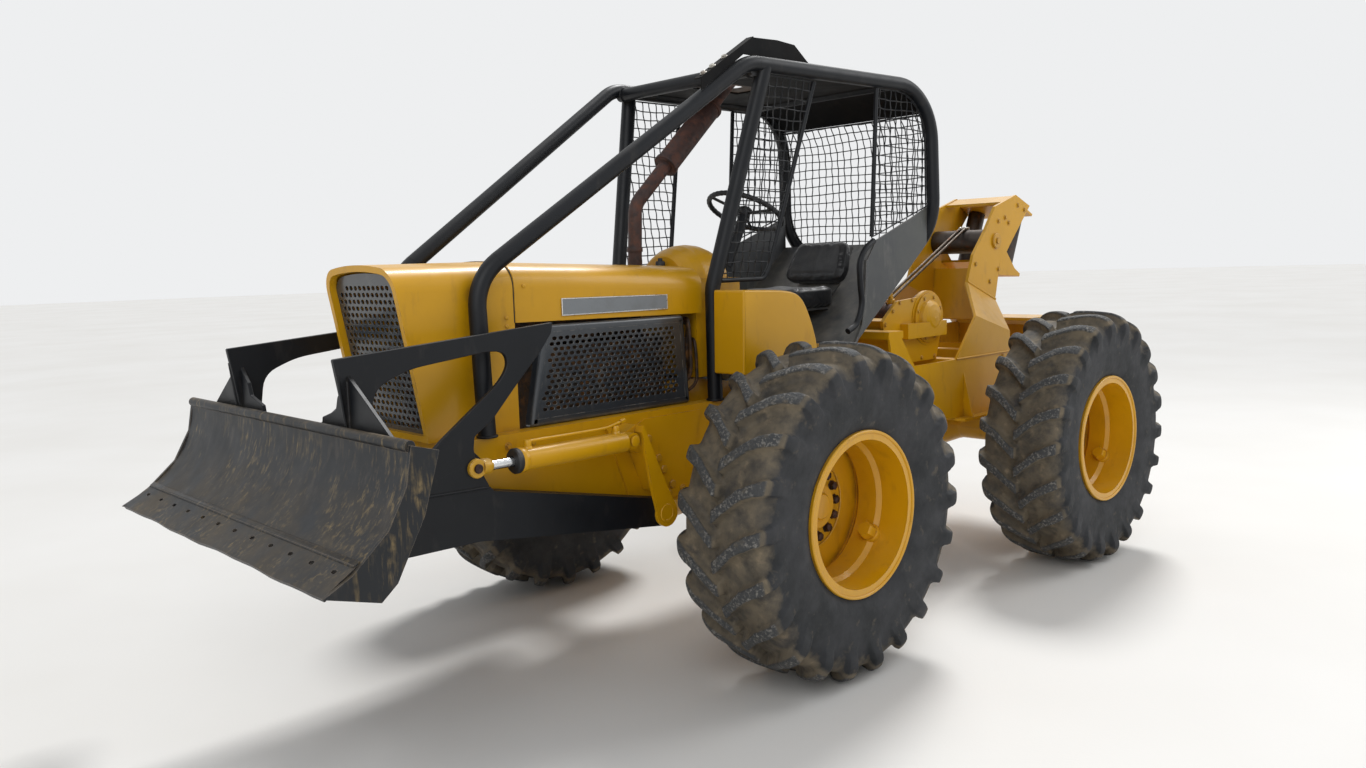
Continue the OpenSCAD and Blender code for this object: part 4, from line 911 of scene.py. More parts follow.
@dataclass
class Wheel:
    """Lugged tyre, rounded rim edge, wheel nuts and the plug in the rim, for one wheel."""

    axle: str
    side: Side
    lug_count: int = 22
    lug_height: float = 0.048
    tread_radius: float = 0.745
    section: Pairs = (
        (0.345, 0.192), (0.372, 0.203), (0.405, 0.217), (0.46, 0.2285), (0.53, 0.233), (0.592, 0.2315),
        (0.640, 0.224), (0.670, 0.205), (0.686, 0.172), (0.694, 0.11), (0.697, 0.0))
    lug_lean: Pairs = ((0.005, -0.005), (0.118, 0.094), (0.215, 0.150), (0.30, 0.172))
    lug_fall: Pairs = ((0, 1), (0.16, 1), (0.205, 0.9), (0.245, 0.66), (0.275, 0.4), (0.31, 0.16),
                       (0.345, 0))
    lug_width: Pairs = ((0, 0.033), (0.05, 0.0305), (0.15, 0.0315), (0.22, 0.037), (0.27, 0.044),
                        (0.33, 0.054))
    offsets: tuple[float, ...] = (0, 11, 18, 22, 26, 30, 35, 43, 53.2, 63.4, 71.4, 76.4, 80.4, 84.4,
                                  88.4, 95.4)
    waves: Pairs = ((0.0016, 0.11), (0.0011, 0.043), (0.0007, 0.021))
    bolt_circle: float = 0.155
    bolts: int = 14
    track_half: float = 1.035
    rim_edge: Point = (0.3610, 0.2125, 0.0080)
    disc_ring: Pairs = ((0.196, -0.004), (0.205, -0.004), (0.205, 0.006), (0.202, 0.009), (0.199, 0.009),
                        (0.196, 0.006))
    hub_cap: Pairs = ((0, 0.040), (0.062, 0.040), (0.062, 0.053), (0.054, 0.060), (0, 0.063))
    plug_foot: Pairs = ((0, 0), (0.046, 0), (0.045, 0.022), (0.041, 0.028), (0, 0.028))
    plug_head: Pairs = ((0, 0.024), (0.039, 0.024), (0.039, 0.070), (0.034, 0.077), (0, 0.078))
    nut: Pairs = ((0, -0.002), (0.025, -0.002), (0.025, 0.002), (0.021, 0.0035), (0.021, 0.018),
                  (0.0185, 0.0225), (0.010, 0.0255), (0, 0.0265))

    @property
    def centre(self) -> np.ndarray:
        """Middle of the wheel."""
        return np.array([AXLE_X[self.axle], self.side.value * self.track_half, AXLE_Z])

    @property
    def body(self) -> str:
        """The CAD body that turns with the wheel."""
        return f"wheel_{self.axle}_{self.side.word}"

    def spin(self, radius: np.ndarray, across: np.ndarray, angle: np.ndarray) -> np.ndarray:
        """Points centre + radius (cos angle X + sin angle Z) + across Y, mirrored on the right."""
        local = np.stack([radius * np.cos(angle), self.side.value * across, radius * np.sin(angle)], -1)
        return self.centre + local

    def build_tyre(self) -> None:
        """Casing section pushed outwards by the lugs.

        A point is (angle, arc), arc being the distance from the tread's middle along the section.
        The grid leans with the lugs: angle = v + lean(|arc|) / radius, so that lug edges follow it.
        The lug tables give lean, share of the height and half width at a distance |arc|.
        Lift = height(|arc|) * step(half width - distance to the lug's line), and the two halves'
        lugs are half a pitch apart.
        """
        half = np.array(self.section)
        loop = np.concatenate([half, half[-2::-1] * [1, -1]])
        fine = smooth_path(np.column_stack([loop, np.zeros(len(loop))]), 900)[:, :2]
        step = np.linalg.norm(np.diff(fine, axis=0), axis=1)
        run = np.concatenate([[0], np.cumsum(step)])
        run -= run[-1] / 2
        end = run[-1]
        a = np.concatenate([np.linspace(-end, -0.35, 9)[:-1], np.linspace(-0.35, 0.35, 95),
                            np.linspace(0.35, end, 9)[1:]])
        r0, y0 = np.interp(a, run, fine[:, 0]), np.interp(a, run, fine[:, 1])
        tangent = unit(np.stack([np.gradient(r0, a), np.gradient(y0, a)], -1))
        out = np.stack([-tangent[:, 1], tangent[:, 0]], -1)
        out *= np.sign(out[len(a) // 2, 0])
        reach = np.abs(a)
        lean, height, width = (np.interp(reach, *np.transpose(table)) for table in
                               (self.lug_lean, self.lug_fall, self.lug_width))
        height = height * self.lug_height
        pitch = 2 * np.pi * self.tread_radius / self.lug_count
        offsets = np.array(self.offsets) * MM
        offsets = np.concatenate([offsets, [pitch / 2], pitch - offsets[:0:-1]])
        v = (np.arange(self.lug_count)[:, None] * pitch + offsets).reshape(-1)[:, None]
        rng = np.random.default_rng(11 + 7 * self.side.value + len(self.axle))
        lift = np.zeros((len(v), len(a)))
        for half_sign, shift in ((1, 0.0), (-1, 0.5)):
            k = np.round(v / pitch - shift)
            lug = k.astype(int) % self.lug_count
            drift = (v - (k + shift) * pitch)
            start = [rng.uniform(0, 6.3, self.lug_count)[lug] for _ in self.waves]
            wave = sum(size * np.sin(2 * np.pi * (a[None, :] / length) + begin)
                       for (size, length), begin in zip(self.waves, start))
            tall = 1 + rng.uniform(-0.05, 0.03, self.lug_count)[lug]
            spread = width[None, :] + wave - np.abs(drift)
            edge = 0.74 * ease((spread + 0.005) / 0.013) + 0.26 * ease((spread + 0.027) / 0.034)
            nose = ease((half_sign * a[None, :] + 0.012) / 0.014)
            crown = 1 - 0.06 * (drift / 0.03) ** 2
            lift = np.maximum(lift, height[None, :] * tall * edge * nose * crown)
        hollow = 0.006 * ease(1 - reach / 0.24)[None, :] * (1 - ease(lift / (0.4 * self.lug_height)))
        ridge = 0.0022 * (np.exp(-((r0 - 0.405) / 0.004) ** 2) + np.exp(-((r0 - 0.615) / 0.005) ** 2))
        push = lift - hollow + ridge[None, :]
        radius = r0[None, :] + push * out[:, 0]
        across = y0[None, :] + push * out[:, 1]
        angle = (v + lean[None, :]) / self.tread_radius
        share = lift / np.maximum(height[None, :], 0.004)
        crest = ease((share - 0.3) / 0.66) * ease((0.25 - reach) / 0.04)
        tread = ease((0.34 - reach) / 0.14)[None, :] * (1 - ease(share / 0.5) * ease((reach - 0.2) / 0.05))
        Form().skin(self.spin(radius, across, angle), wrap=True, mark=0.5 * tread * (1 + crest)).piece(
            f"tyre_{self.axle}_{self.side.word}_lugs", TYRE, self.body, 1.1,
            [f"tyre_{self.axle}_{self.side.word}"])

    def build_rim(self) -> None:
        """Rounded edges on the rim, nuts on the studs, a ring on the disc and the plug in the barrel."""
        out = self.side.value * Y
        edge = Form()
        ring, across, radius = self.rim_edge
        a = round_angles(96)
        for at in (across, -across):
            edge.skin(swept(self.spin(np.full(96, ring), np.full(96, at), a), radius, 14, True), wrap=True)
        disc = self.centre - 0.078 * out
        edge.skin(turned(self.disc_ring, disc, out, 72), wrap=True)
        edge.skin(turned(self.hub_cap, disc, out, 40))
        inward = np.array([0.854, 0, 0.52])
        wall = self.centre + 0.045 * out - 0.330 * inward
        edge.skin(turned(self.plug_foot, wall, inward, 40))
        edge.skin(turned(self.plug_head, wall, inward, 6))
        edge.piece(f"rim_edge_{self.axle}_{self.side.word}", YELLOW_RIM, self.body)
        nuts = Form()
        for n, t in enumerate(np.arange(self.bolts) * 2 * np.pi / self.bolts):
            stud = self.centre + self.bolt_circle * (math.cos(t) * X + math.sin(t) * Z) - 0.0775 * out
            nuts.skin(turned(self.nut, stud, out, 6, 0.4 * n))
        nuts.piece(f"wheel_nuts_{self.axle}_{self.side.word}", FASTENER, self.body, 0.35)

    def build(self) -> None:
        """The tyre and the rim's pieces."""
        self.build_tyre()
        self.build_rim()


# ---------------------------------------------------------------- mesh panels


@dataclass
class WovenPanel:
    """Crimped wire mesh inside an outline, with the rods along its edges."""

    name: str
    node: str
    outline: np.ndarray
    origin: np.ndarray
    u: np.ndarray
    v: np.ndarray
    rods: list[np.ndarray] = field(default_factory=list)
    pitch: float = 0.05
    wire: float = 0.0031
    rod: float = 0.012
    seed: int = 3
    fold_at: float = 9.0
    fold_radius: float = 1.0

    def to_space(self, flat: np.ndarray, off: np.ndarray | float = 0.0) -> np.ndarray:
        """Plane up to fold_at, then an arc towards u x v: v = fold + R sin t, out = R (1 - cos t)."""
        out = np.cross(self.u, self.v)
        t = np.maximum(flat[:, 1] - self.fold_at, 0)[:, None] / self.fold_radius
        along = np.minimum(flat[:, 1], self.fold_at)[:, None] + self.fold_radius * np.sin(t)
        off = np.broadcast_to(off, len(flat))[:, None]
        return (self.origin + flat[:, :1] * self.u + (along - off * np.sin(t)) * self.v
                + (self.fold_radius * (1 - np.cos(t)) + off * np.cos(t)) * out)

    def chords(self, axis: int) -> list[Point]:
        """Stretches of the grid's lines inside the outline: (position, start, end)."""
        p = inset(self.outline, 0.003)
        q = np.roll(p, -1, 0)
        found = []
        for at in np.arange(p[:, axis].min() + 0.031, p[:, axis].max(), self.pitch):
            lo, hi = np.minimum(p, q)[:, axis], np.maximum(p, q)[:, axis]
            hit = (lo <= at) & (at < hi)
            t = (at - p[hit, axis]) / (q - p)[hit, axis]
            cut = p[hit, 1 - axis] + t * (q - p)[hit, 1 - axis]
            if len(cut) == 2 and np.ptp(cut) > 0.03:
                found.append((float(at), float(cut.min()), float(cut.max())))
        return found

    def build(self) -> None:
        """Each wire is carried along plane + crimp: 3 mm * cos(pi * s / pitch), out of the plane.

        A slow sine of a few millimetres bends the wires in and out of line, as knocked mesh is.
        """
        rng = np.random.default_rng(self.seed)
        form = Form()
        bend = rng.uniform(0, 6.3, 4)
        for axis in (0, 1):
            for n, (at, start, end) in enumerate(self.chords(axis)):
                s = np.linspace(start, end, max(6, int((end - start) / 0.0125)))
                flat = np.zeros((len(s), 2))
                flat[:, axis], flat[:, 1 - axis] = at, s
                fade = ease(np.minimum(s - start, end - s) / 0.12)
                flat[:, axis] += 0.0045 * fade * np.sin(s / 0.13 + bend[axis] + 0.9 * n)
                crimp = self.wire * 1.05 * np.cos(np.pi * s / self.pitch + np.pi * (n + axis))
                sag = 0.007 * fade * np.sin(flat[:, 0] / 0.19 + bend[2]) * np.sin(flat[:, 1] / 0.23 + bend[3])
                form.skin(swept(self.to_space(flat, crimp + sag), self.wire, 6))
        line = np.concatenate([even(np.stack([p, q]), 14)[:-1] for p, q in
                               zip(self.outline, np.roll(self.outline, -1, 0))])
        form.skin(swept(self.to_space(line), 0.0042, 8, True), wrap=True)
        for path in self.rods:
            form.skin(swept(self.to_space(path), self.rod, 16))
        form.piece(self.name, BLACK, "front_body", 1.0, [self.node])


@dataclass
class Guard:
    """Mesh panels, weld beads and bolts of the operator's guard."""

    canopy_h: float = 1600.0
    guard_r: float = 37.0
    hoop_bend: float = 346.0
    hoop_half: float = 544.0
    canopy_half: float = 486.0
    canopy_ends: Pair = (-146.0, -1605.0)
    post_y: float = 351.0
    plate_bolts: tuple[float, ...] = (0.55, 1.5, 2.8)
    sheet_end: float = 1468.0
    sheet_half: float = 4.0
    exhaust_at: float = -80.0

    def canopy_y(self, x: float) -> float:
        """Distance of a canopy side tube from the centre line, both in millimetres."""
        near, far = self.canopy_ends
        return self.canopy_half + (self.hoop_half - self.canopy_half) * (near - x) / (near - far)

    def rear_outline(self) -> np.ndarray:
        """Rear panel's outline in millimetres: straight sides and quarter circles at the bottom."""
        bend = self.hoop_bend - self.guard_r - 5
        centre = np.array([self.hoop_half + 8 - self.hoop_bend, 637 + self.hoop_bend])
        a = np.radians(np.arange(0, 91, 6))
        half = np.concatenate([[[self.hoop_half - self.guard_r, self.sheet_end],
                                [self.hoop_half - self.guard_r, self.canopy_h - self.hoop_bend]],
                               centre + bend * np.stack([np.cos(a), -np.sin(a)], -1)])
        return np.concatenate([half, half[::-1] * [-1, 1]])[::-1]

    def build_mesh(self) -> None:
        """The rear panel and two panels on each side, in the planes of the CAD nodes."""
        WovenPanel("woven_mesh_rear", "guard_mesh", MM * self.rear_outline(), front(-1625, 0, 0), Y, Z,
                   fold_at=MM * (self.canopy_h - self.hoop_bend),
                   fold_radius=MM * (self.hoop_bend - 7)).build()
        rise = self.canopy_h - 10 - 545
        lean = math.atan((self.canopy_y(-264) - self.post_y) / rise)
        back = 252 / rise
        low = 581
        flat = np.array([[-12 - self.guard_r - back * 36 - 6, low], [-375, low], [-412, 640],
                         [-640, self.canopy_h - 45], [-264 - self.guard_r - 4, self.canopy_h - 45]], float)
        flat[:, 1] = (flat[:, 1] - 545) / math.cos(lean)
        bend = 300 - self.guard_r - 1
        a = np.radians(np.arange(0, 91, 15))
        side_panel = np.concatenate([
            [[-1065, 776], [-1120, self.canopy_h - self.guard_r - 1]],
            np.stack([-1605 + 292 - bend * np.sin(a), self.canopy_h - 300 + bend * np.cos(a)], -1),
            [[-1583, 945]]])
        for side in Side:
            s = side.value
            up = np.array([0, s * math.sin(lean), math.cos(lean)])
            out = np.array([0, s * math.cos(lean), -math.sin(lean)])
            origin = front(0, s * self.post_y, 545) + MM * 3 * out
            rods = filleted(np.column_stack([MM * flat[:4], np.zeros(4)]), 0.03)[:, :2]
            WovenPanel(f"woven_mesh_front_{side.word}", f"mesh_front_{side.word}", MM * flat[::-1],
                       origin, X, up, [rods], seed=5 + s).build()
            bar = MM * (side_panel[:2] + [[0, 4], [0, -1]])
            WovenPanel(f"woven_mesh_side_{side.word}", f"mesh_rear_{side.word}", MM * side_panel,
                       front(0, s * 525.5, 0), X, Z, [bar], seed=8 + s).build()

    def build_roof(self) -> None:
        """Sheet from the roof's rear tube down along the hoop's bend, and the collar round the exhaust.

        The sheet is bent on the hoop's circle: centre + R (-sin t X + cos t Z), t from -2 to 53 degrees.
        """
        t = np.radians(np.linspace(-2, 53, 22))
        centre = front(-1632 + self.hoop_bend, 0, self.canopy_h - self.hoop_bend)
        ring = np.stack([-np.sin(t), np.zeros(len(t)), np.cos(t)], -1)
        half = MM * (self.hoop_half - self.guard_r - 1.5)
        outer, inner = (centre + MM * (self.hoop_bend + depth) * ring
                        for depth in (self.sheet_half, -self.sheet_half))
        section = np.concatenate([outer, inner[::-1]])
        Form().skin(np.stack([section - half * Y, section + half * Y]), flat=True).piece(
            "roof_rear_sheet", ROOF, "front_body", 0.5)
        wide = rounded(0.43, 0.26, 0.012) + front(-615, self.exhaust_at, 0)[:2]
        hole = rounded(0.19, 0.10, 0.048) + front(-606, self.exhaust_at, 0)[:2]
        low, high = front(0, 0, self.canopy_h + 4.3)[2], front(0, 0, self.canopy_h + 8.3)[2]
        rings = [np.column_stack([flat, np.full(len(flat), z)]) for flat, z in
                 ((wide, low), (wide, high), (hole, high), (hole, low))]
        Form().skin(np.stack(rings), wrap=True).piece("exhaust_collar", HEATED, "front_body", 0.5)

    def build_joints(self) -> None:
        """Weld beads where tubes meet and bolts on the roof's upright plate."""
        beads = Form()
        ring = round_angles(48)
        for s in (1, -1):
            for x, z_off, r in ((-200, 24, 0.034), (-1300, 6, 0.024)):
                y = s * (self.canopy_y(x) - 36)
                circle = np.stack([np.cos(ring) * (r + 0.002), np.zeros(48), np.sin(ring) * (r + 0.002)], -1)
                add_weld(beads, front(x, y, self.canopy_h - z_off) + circle, 0.0045, True)
            foot = np.stack([np.cos(ring) * 0.0385, np.sin(ring) * 0.0385, np.zeros(48)], -1)
            add_weld(beads, front(-12, s * self.post_y, 5) + foot, 0.005, True)
            add_weld(beads, front(1310, s * 360, 6) + foot, 0.005, True)
        beads.piece("guard_welds", BLACK, "front_body", 1.0)
        bolts = Form()
        places = [front(150 - 62 * t, self.canopy_half - 30, self.canopy_h - 100 + 222 * t / 5.77 + 8)
                  for t in self.plate_bolts]
        along = unit(np.array([-358.0, 0, 222.0]))
        add_bolts(bolts, places, np.cross(along, Y) * -1, 0.012)
        bolts.piece("roof_plate_bolts", BRIGHT_BOLT, "front_body", 0.5)

    def build(self) -> None:
        """Mesh, welds and bolts."""
        self.build_mesh()
        self.build_roof()
        self.build_joints()


# ---------------------------------------------------------------- seat


@dataclass
class Seat:
    """Bucket seat: a cushion and a back of vinyl over foam, each with sewn channels."""

    half_width: float = 0.219
    voxel: float = 0.006
    pressure: float = 4.0
    cap: float = 0.009
    lean: float = 26.0
    back_at: Point = (-1288, 0, 641)
    cushion_at: Point = (-970, 0, 449)
    channel_half: float = 0.15
    channels: dict[str, tuple[tuple[float, ...], ...]] = field(default_factory=lambda: {
        "seat_back": ((-1207, 590, 0.6, 0.012, 0.012),),
        "seat_cushion": ((-860, 492, 0, 0.006, 0.009), (-1075, 492, 0, 0.006, 0.009))})

    def block(self, centre: np.ndarray, half: Sequence[float], power: float = 0.42) -> np.ndarray:
        """Rounded block: each of x, y and z is half size * sign * |cos or sin| ** power of two angles.

        Args:
            centre: its middle in metres.
            half: half sizes along x, y and z.
            power: 1 gives an ellipsoid, and near 0 a box.

        Returns:
            Points of shape (40, 80, 3).
        """
        lat = np.linspace(-np.pi / 2, np.pi / 2, 40)[:, None]
        lon = round_angles(80)[None, :]
        one = np.ones_like(lon)

        def raised(t: np.ndarray) -> np.ndarray:
            """Sign kept, size to the power."""
            return np.sign(t) * np.abs(t) ** power

        return centre + np.stack([half[0] * raised(np.cos(lat)) * raised(np.cos(lon)),
                                  half[1] * raised(np.cos(lat)) * raised(np.sin(lon)),
                                  half[2] * raised(np.sin(lat)) * one], -1)

    def cushion(self) -> np.ndarray:
        """Block whose sides and rear rise and whose middle is hollowed by a bell curve of x and y."""
        g = self.block(front(*self.cushion_at), (0.193, self.half_width, 0.047), 0.3)
        x, y = g[..., 0] - front(-972, 0, 0)[0], g[..., 1]
        top = g[..., 2] > front(0, 0, 448)[2]
        g[..., 2] += top * 0.016 * np.abs(y / self.half_width) ** 3 + 0.014 * (x < 0) * (x / 0.19) ** 2
        g[..., 2] -= top * 0.014 * np.exp(-((x / 0.12) ** 2 + (y / 0.14) ** 2))
        return g

    def back(self) -> np.ndarray:
        """Block leaned back, whose sides come forward by 0.022 (y/b)^2 and whose top narrows."""
        g = self.block(np.zeros(3), (0.034, self.half_width, 0.133), 0.34)
        y = g[..., 1] / self.half_width
        g[..., 1] *= 1 - 0.14 * ease((g[..., 2] + 0.03) / 0.16)
        g[..., 0] += 0.022 * y**2
        t = math.radians(self.lean)
        x = g[..., 0] * math.cos(t) - g[..., 2] * math.sin(t)
        z = g[..., 0] * math.sin(t) + g[..., 2] * math.cos(t)
        return np.stack([x, g[..., 1], z], -1) + front(*self.back_at)

    def swell(self, piece: bpy.types.Object) -> None:
        """Remesh a pad, blow it up as cloth, limit how far a point moves and smooth it once.

        Args:
            piece: the pad, whose mesh is replaced.
        """
        def settle(kind: str, name: str, **facts: object) -> bpy.types.Modifier:
            """Add a modifier and set its values."""
            modifier = piece.modifiers.new(name, kind)
            for key, value in facts.items():
                setattr(modifier, key, value)
            return modifier

        def applied() -> bpy.types.Mesh:
            """The mesh as its modifiers leave it."""
            graph = bpy.context.evaluated_depsgraph_get()
            return bpy.data.meshes.new_from_object(piece.evaluated_get(graph))

        settle("REMESH", "voxels", mode="VOXEL", voxel_size=self.voxel, use_smooth_shade=True)
        piece.data = applied()
        piece.modifiers.clear()
        start = np.empty(len(piece.data.vertices) * 3, np.float32)
        piece.data.vertices.foreach_get("co", start)
        cloth = piece.modifiers.new("air", "CLOTH")
        cloth.settings.use_pressure = True
        cloth.settings.uniform_pressure_force = self.pressure
        cloth.settings.effector_weights.gravity = 0
        cloth.settings.quality = 4
        for n in range(1, 21):
            bpy.context.scene.frame_set(n)
        blown = applied()
        end = np.empty_like(start)
        blown.vertices.foreach_get("co", end)
        move = (end - start).reshape(-1, 3)
        size = np.linalg.norm(move, axis=1, keepdims=True)
        move *= np.minimum(1.0, self.cap / np.maximum(size, 1e-9))
        piece.modifiers.clear()
        piece.data.vertices.foreach_set("co", (start + move.reshape(-1)).astype(np.float32))
        bpy.context.scene.frame_set(1)
        piece.data.polygons.foreach_set("use_smooth", np.ones(len(piece.data.polygons), bool))
        settle("SUBSURF", "smooth", levels=1, render_levels=1)
        piece.data.update()

    def pinch(self, piece: bpy.types.Object, seam: np.ndarray, depth: float, reach: float) -> None:
        """Draw the pad in along a seam: each point moves inwards by depth * exp(-(distance / reach)^2).

        Args:
            piece: the pad.
            seam: points of the seam, shape (n, 3).
            depth: how far the seam is drawn in.
            reach: half width of the channel.
        """
        mesh = piece.data
        co = np.empty(len(mesh.vertices) * 3, np.float32)
        normal = np.empty_like(co)
        mesh.vertices.foreach_get("co", co)
        mesh.vertices.foreach_get("normal", normal)
        co, normal = co.reshape(-1, 3), normal.reshape(-1, 3)
        near = np.min(np.stack([np.linalg.norm(co - p, axis=1) for p in even(seam, 60)]), axis=0)
        co -= (depth * np.exp(-((near / reach) ** 2)))[:, None] * normal
        mesh.vertices.foreach_set("co", co.reshape(-1))
        mesh.update()

    def build(self) -> None:
        """Both pads and their channels."""
        for name, grid, node in (("seat_cushion_pad", self.cushion(), "seat_cushion"),
                                 ("seat_back_pad", self.back(), "seat_back")):
            pad = Form().skin(grid).piece(name, VINYL, "front_body", 3.0, [node])
            self.swell(pad)
            y = np.linspace(-self.channel_half, self.channel_half, 24)[:, None]
            for x, z, bow, depth, reach in self.channels[node]:
                self.pinch(pad, front(x, 0, z) + bow * y**2 * X + y * Y, depth, reach)
            pad.data.materials.clear()
            pad.data.materials.append(VINYL.material())


# ---------------------------------------------------------------- bonnet, engine bay, controls


@dataclass
class Perforated:
    """Sheet with staggered rows of round-cornered holes.

    Each hole has its own cell of the sheet. A row is half a pitch off the next, so that the middle
    of a cell's edge is the corner of its neighbours, and cells share their points.
    """

    first: Pair
    pitch: Pair
    hole: Pair
    count: tuple[int, int]
    thickness: float
    limit: Callable[[np.ndarray], np.ndarray]
    open_at: Callable[[np.ndarray], np.ndarray]
    shear: float = 0.0
    bevel: float = 0.0008

    def build(self, form: Form, to_space: Callable[[np.ndarray], np.ndarray], flip: bool) -> None:
        """Five rings a cell: sheet edge, hole edge, below its bevel, hole at the back, back edge.

        Args:
            form: the form that takes the sheet.
            to_space: turns (u, v, depth) into points in space.
            flip: whether that mirrors the sheet.
        """
        i, k = (g.reshape(-1) for g in np.meshgrid(np.arange(self.count[0]), np.arange(self.count[1])))
        centre = np.stack([self.first[0] + (i + 0.5 * (k % 2)) * self.pitch[0],
                           self.first[1] + k * self.pitch[1]], -1)
        round_cell = np.array([(-1, -1), (0, -1), (1, -1), (1, 0), (1, 1), (0, 1), (-1, 1), (-1, 0)]) / 2
        round_hole = np.array([(-.38, -.38), (0, -.5), (.38, -.38), (.5, 0), (.38, .38), (0, .5), (-.38, .38),
                               (-.5, 0)])

        def ring(shape: np.ndarray, size: Sequence[float], depth: float) -> np.ndarray:
            """One ring of eight points about each cell's centre."""
            flat = centre[:, None] + shape * np.asarray(size)
            flat = self.limit(flat + np.stack([self.shear * flat[..., 1], 0 * flat[..., 1]], -1))
            return np.concatenate([flat, np.full((*flat.shape[:2], 1), depth)], -1)

        hole, wide = np.array(self.hole), np.array(self.hole) + 2 * self.bevel
        rings = np.stack([ring(round_cell, self.pitch, 0), ring(round_hole, wide, 0),
                          ring(round_hole, hole, -self.bevel), ring(round_hole, hole, -self.thickness),
                          ring(round_cell, self.pitch, -self.thickness)], 1)
        x, y = rings[:, 0, :, 0], rings[:, 0, :, 1]
        area = 0.5 * np.sum(x * np.roll(y, -1, 1) - y * np.roll(x, -1, 1), 1)
        rings = rings[area > 0.02 * self.pitch[0] * self.pitch[1]]
        pierced = self.open_at(rings[:, 0].mean(1))
        points, index = np.unique(np.round(rings.reshape(-1, 3), 6), axis=0, return_inverse=True)
        index = index.reshape(rings.shape[:3])
        after = np.roll(index, -1, 2)
        wall = np.stack([index[:, 4], after[:, 4], after[:, 0], index[:, 0]], -1).reshape(-1, 4)
        _, which, times = np.unique(np.sort(wall, 1), axis=0, return_inverse=True, return_counts=True)
        faces = wall[times[which.reshape(-1)] == 1].tolist()
        for n in range(4):
            faces += np.stack([index[:, n], after[:, n], after[:, n + 1], index[:, n + 1]], -1)[
                pierced].reshape(-1, 4).tolist()
        faces += index[~pierced, 0].tolist() + index[~pierced, 4][:, ::-1].tolist()
        faces = [f for f in (list(dict.fromkeys(face)) for face in faces) if len(f) > 2]
        form.add(to_space(points), [[n + form.count for n in (f[::-1] if flip else f)] for f in faces])


@dataclass
class Screens:
    """Pierced screens over the engine and the radiator, in trays with rounded edges."""

    outline: Pairs = ((968, 430), (141, 424), (111, 1), (1056, 1))
    face: float = 0.305
    back: float = 0.262
    edge: float = 0.015
    lean: float = 30 / 412
    grille_foot: float = 1533.0
    grille_lean: float = 9.7
    grille_half: float = 0.277
    grille_top: float = 0.680

    def build_side(self) -> None:
        """The tray's outline shrinks along a quarter circle of 15 mm, then drops to the pierced sheet."""
        for side in Side:
            s = side.value
            outline = round_corners(MM * np.array(self.outline) * [-s, 1], 0.02, 7)[:: -s]
            u = -s * X
            t = np.linspace(0, np.pi / 2, 7)
            roll = [(self.edge * (1 - math.cos(a)), self.edge * math.sin(a) - self.edge) for a in t]
            depth = self.back - self.face
            profile = [(0.0, depth), *roll, (0.031, 0.0), (0.0315, -0.0025), (0.018, -0.003),
                       (0.004, -0.014), (0.003, depth)]
            form = Form().skin(slab(outline, FRONT_DATUM + s * self.face * Y, u, Z, profile), wrap=True)

            def held(flat: np.ndarray) -> np.ndarray:
                """Points kept inside the tray."""
                v = np.clip(flat[..., 1], 0.014, 0.410)
                return np.stack([np.clip(flat[..., 0], 0.125 + self.lean * v, 1.041 - 0.213 * v), v], -1)

            def opened(c: np.ndarray) -> np.ndarray:
                """Cells that have a hole."""
                low, high = 0.192 + self.lean * c[:, 1], 1.003 - 0.213 * c[:, 1]
                return (c[:, 0] > low) & (c[:, 0] < high) & (c[:, 1] > 0.06) & (c[:, 1] < 0.379)

            def stood(p: np.ndarray) -> np.ndarray:
                """Points of the flat sheet, set upright behind the tray's face."""
                return FRONT_DATUM + np.stack([p[:, 0], s * (self.face - 0.0012 + p[:, 2]), p[:, 1]], -1)

            Perforated((0.107, 0.024), (0.0345, 0.023), (0.0255, 0.0165), (28, 17), 0.003, held, opened,
                       self.lean).build(form, stood, s > 0)
            form.piece(f"side_screen_{side.word}", SCREEN, "front_body", 0.5, ["side_screens"])

    def build_grille(self) -> None:
        """Pierced sheet in the leaning plane of the grille: foot + y Y + v (sin lean X + cos lean Z)."""
        t = math.radians(self.grille_lean)
        up, out = np.array([math.sin(t), 0, math.cos(t)]), np.array([math.cos(t), 0, -math.sin(t)])
        foot = front(self.grille_foot - 30, 0, 0) - 0.001 * out

        def held(flat: np.ndarray) -> np.ndarray:
            """Points kept inside the crowned outline, whose corners are round."""
            u = np.clip(flat[..., 0], -self.grille_half, self.grille_half)
            over = np.maximum(0, np.abs(u) - (self.grille_half - 0.09))
            top = self.grille_top - u**2 / 3 - (0.09 - np.sqrt(np.maximum(0.09**2 - over**2, 0)))
            return np.stack([u, np.clip(flat[..., 1], 0.014, top)], -1)

        def opened(c: np.ndarray) -> np.ndarray:
            """Cells that have a hole."""
            return ((np.abs(c[:, 0]) < 0.246) & (c[:, 1] > 0.05)
                    & (c[:, 1] < 0.645 - 0.9 * np.maximum(0, np.abs(c[:, 0]) - 0.17)))

        form = Form()
        Perforated((-0.296, 0.026), (0.037, 0.0283), (0.0265, 0.0195), (17, 25), 0.006, held, opened).build(
            form, lambda p: foot + p[:, :1] * Y + p[:, 1:2] * up + p[:, 2:] * out, False)
        form.piece("radiator_grille", SCREEN, "front_body", 0.5, ["front_grille"])

    def build(self) -> None:
        """Side screens and grille."""
        self.build_side()
        self.build_grille()


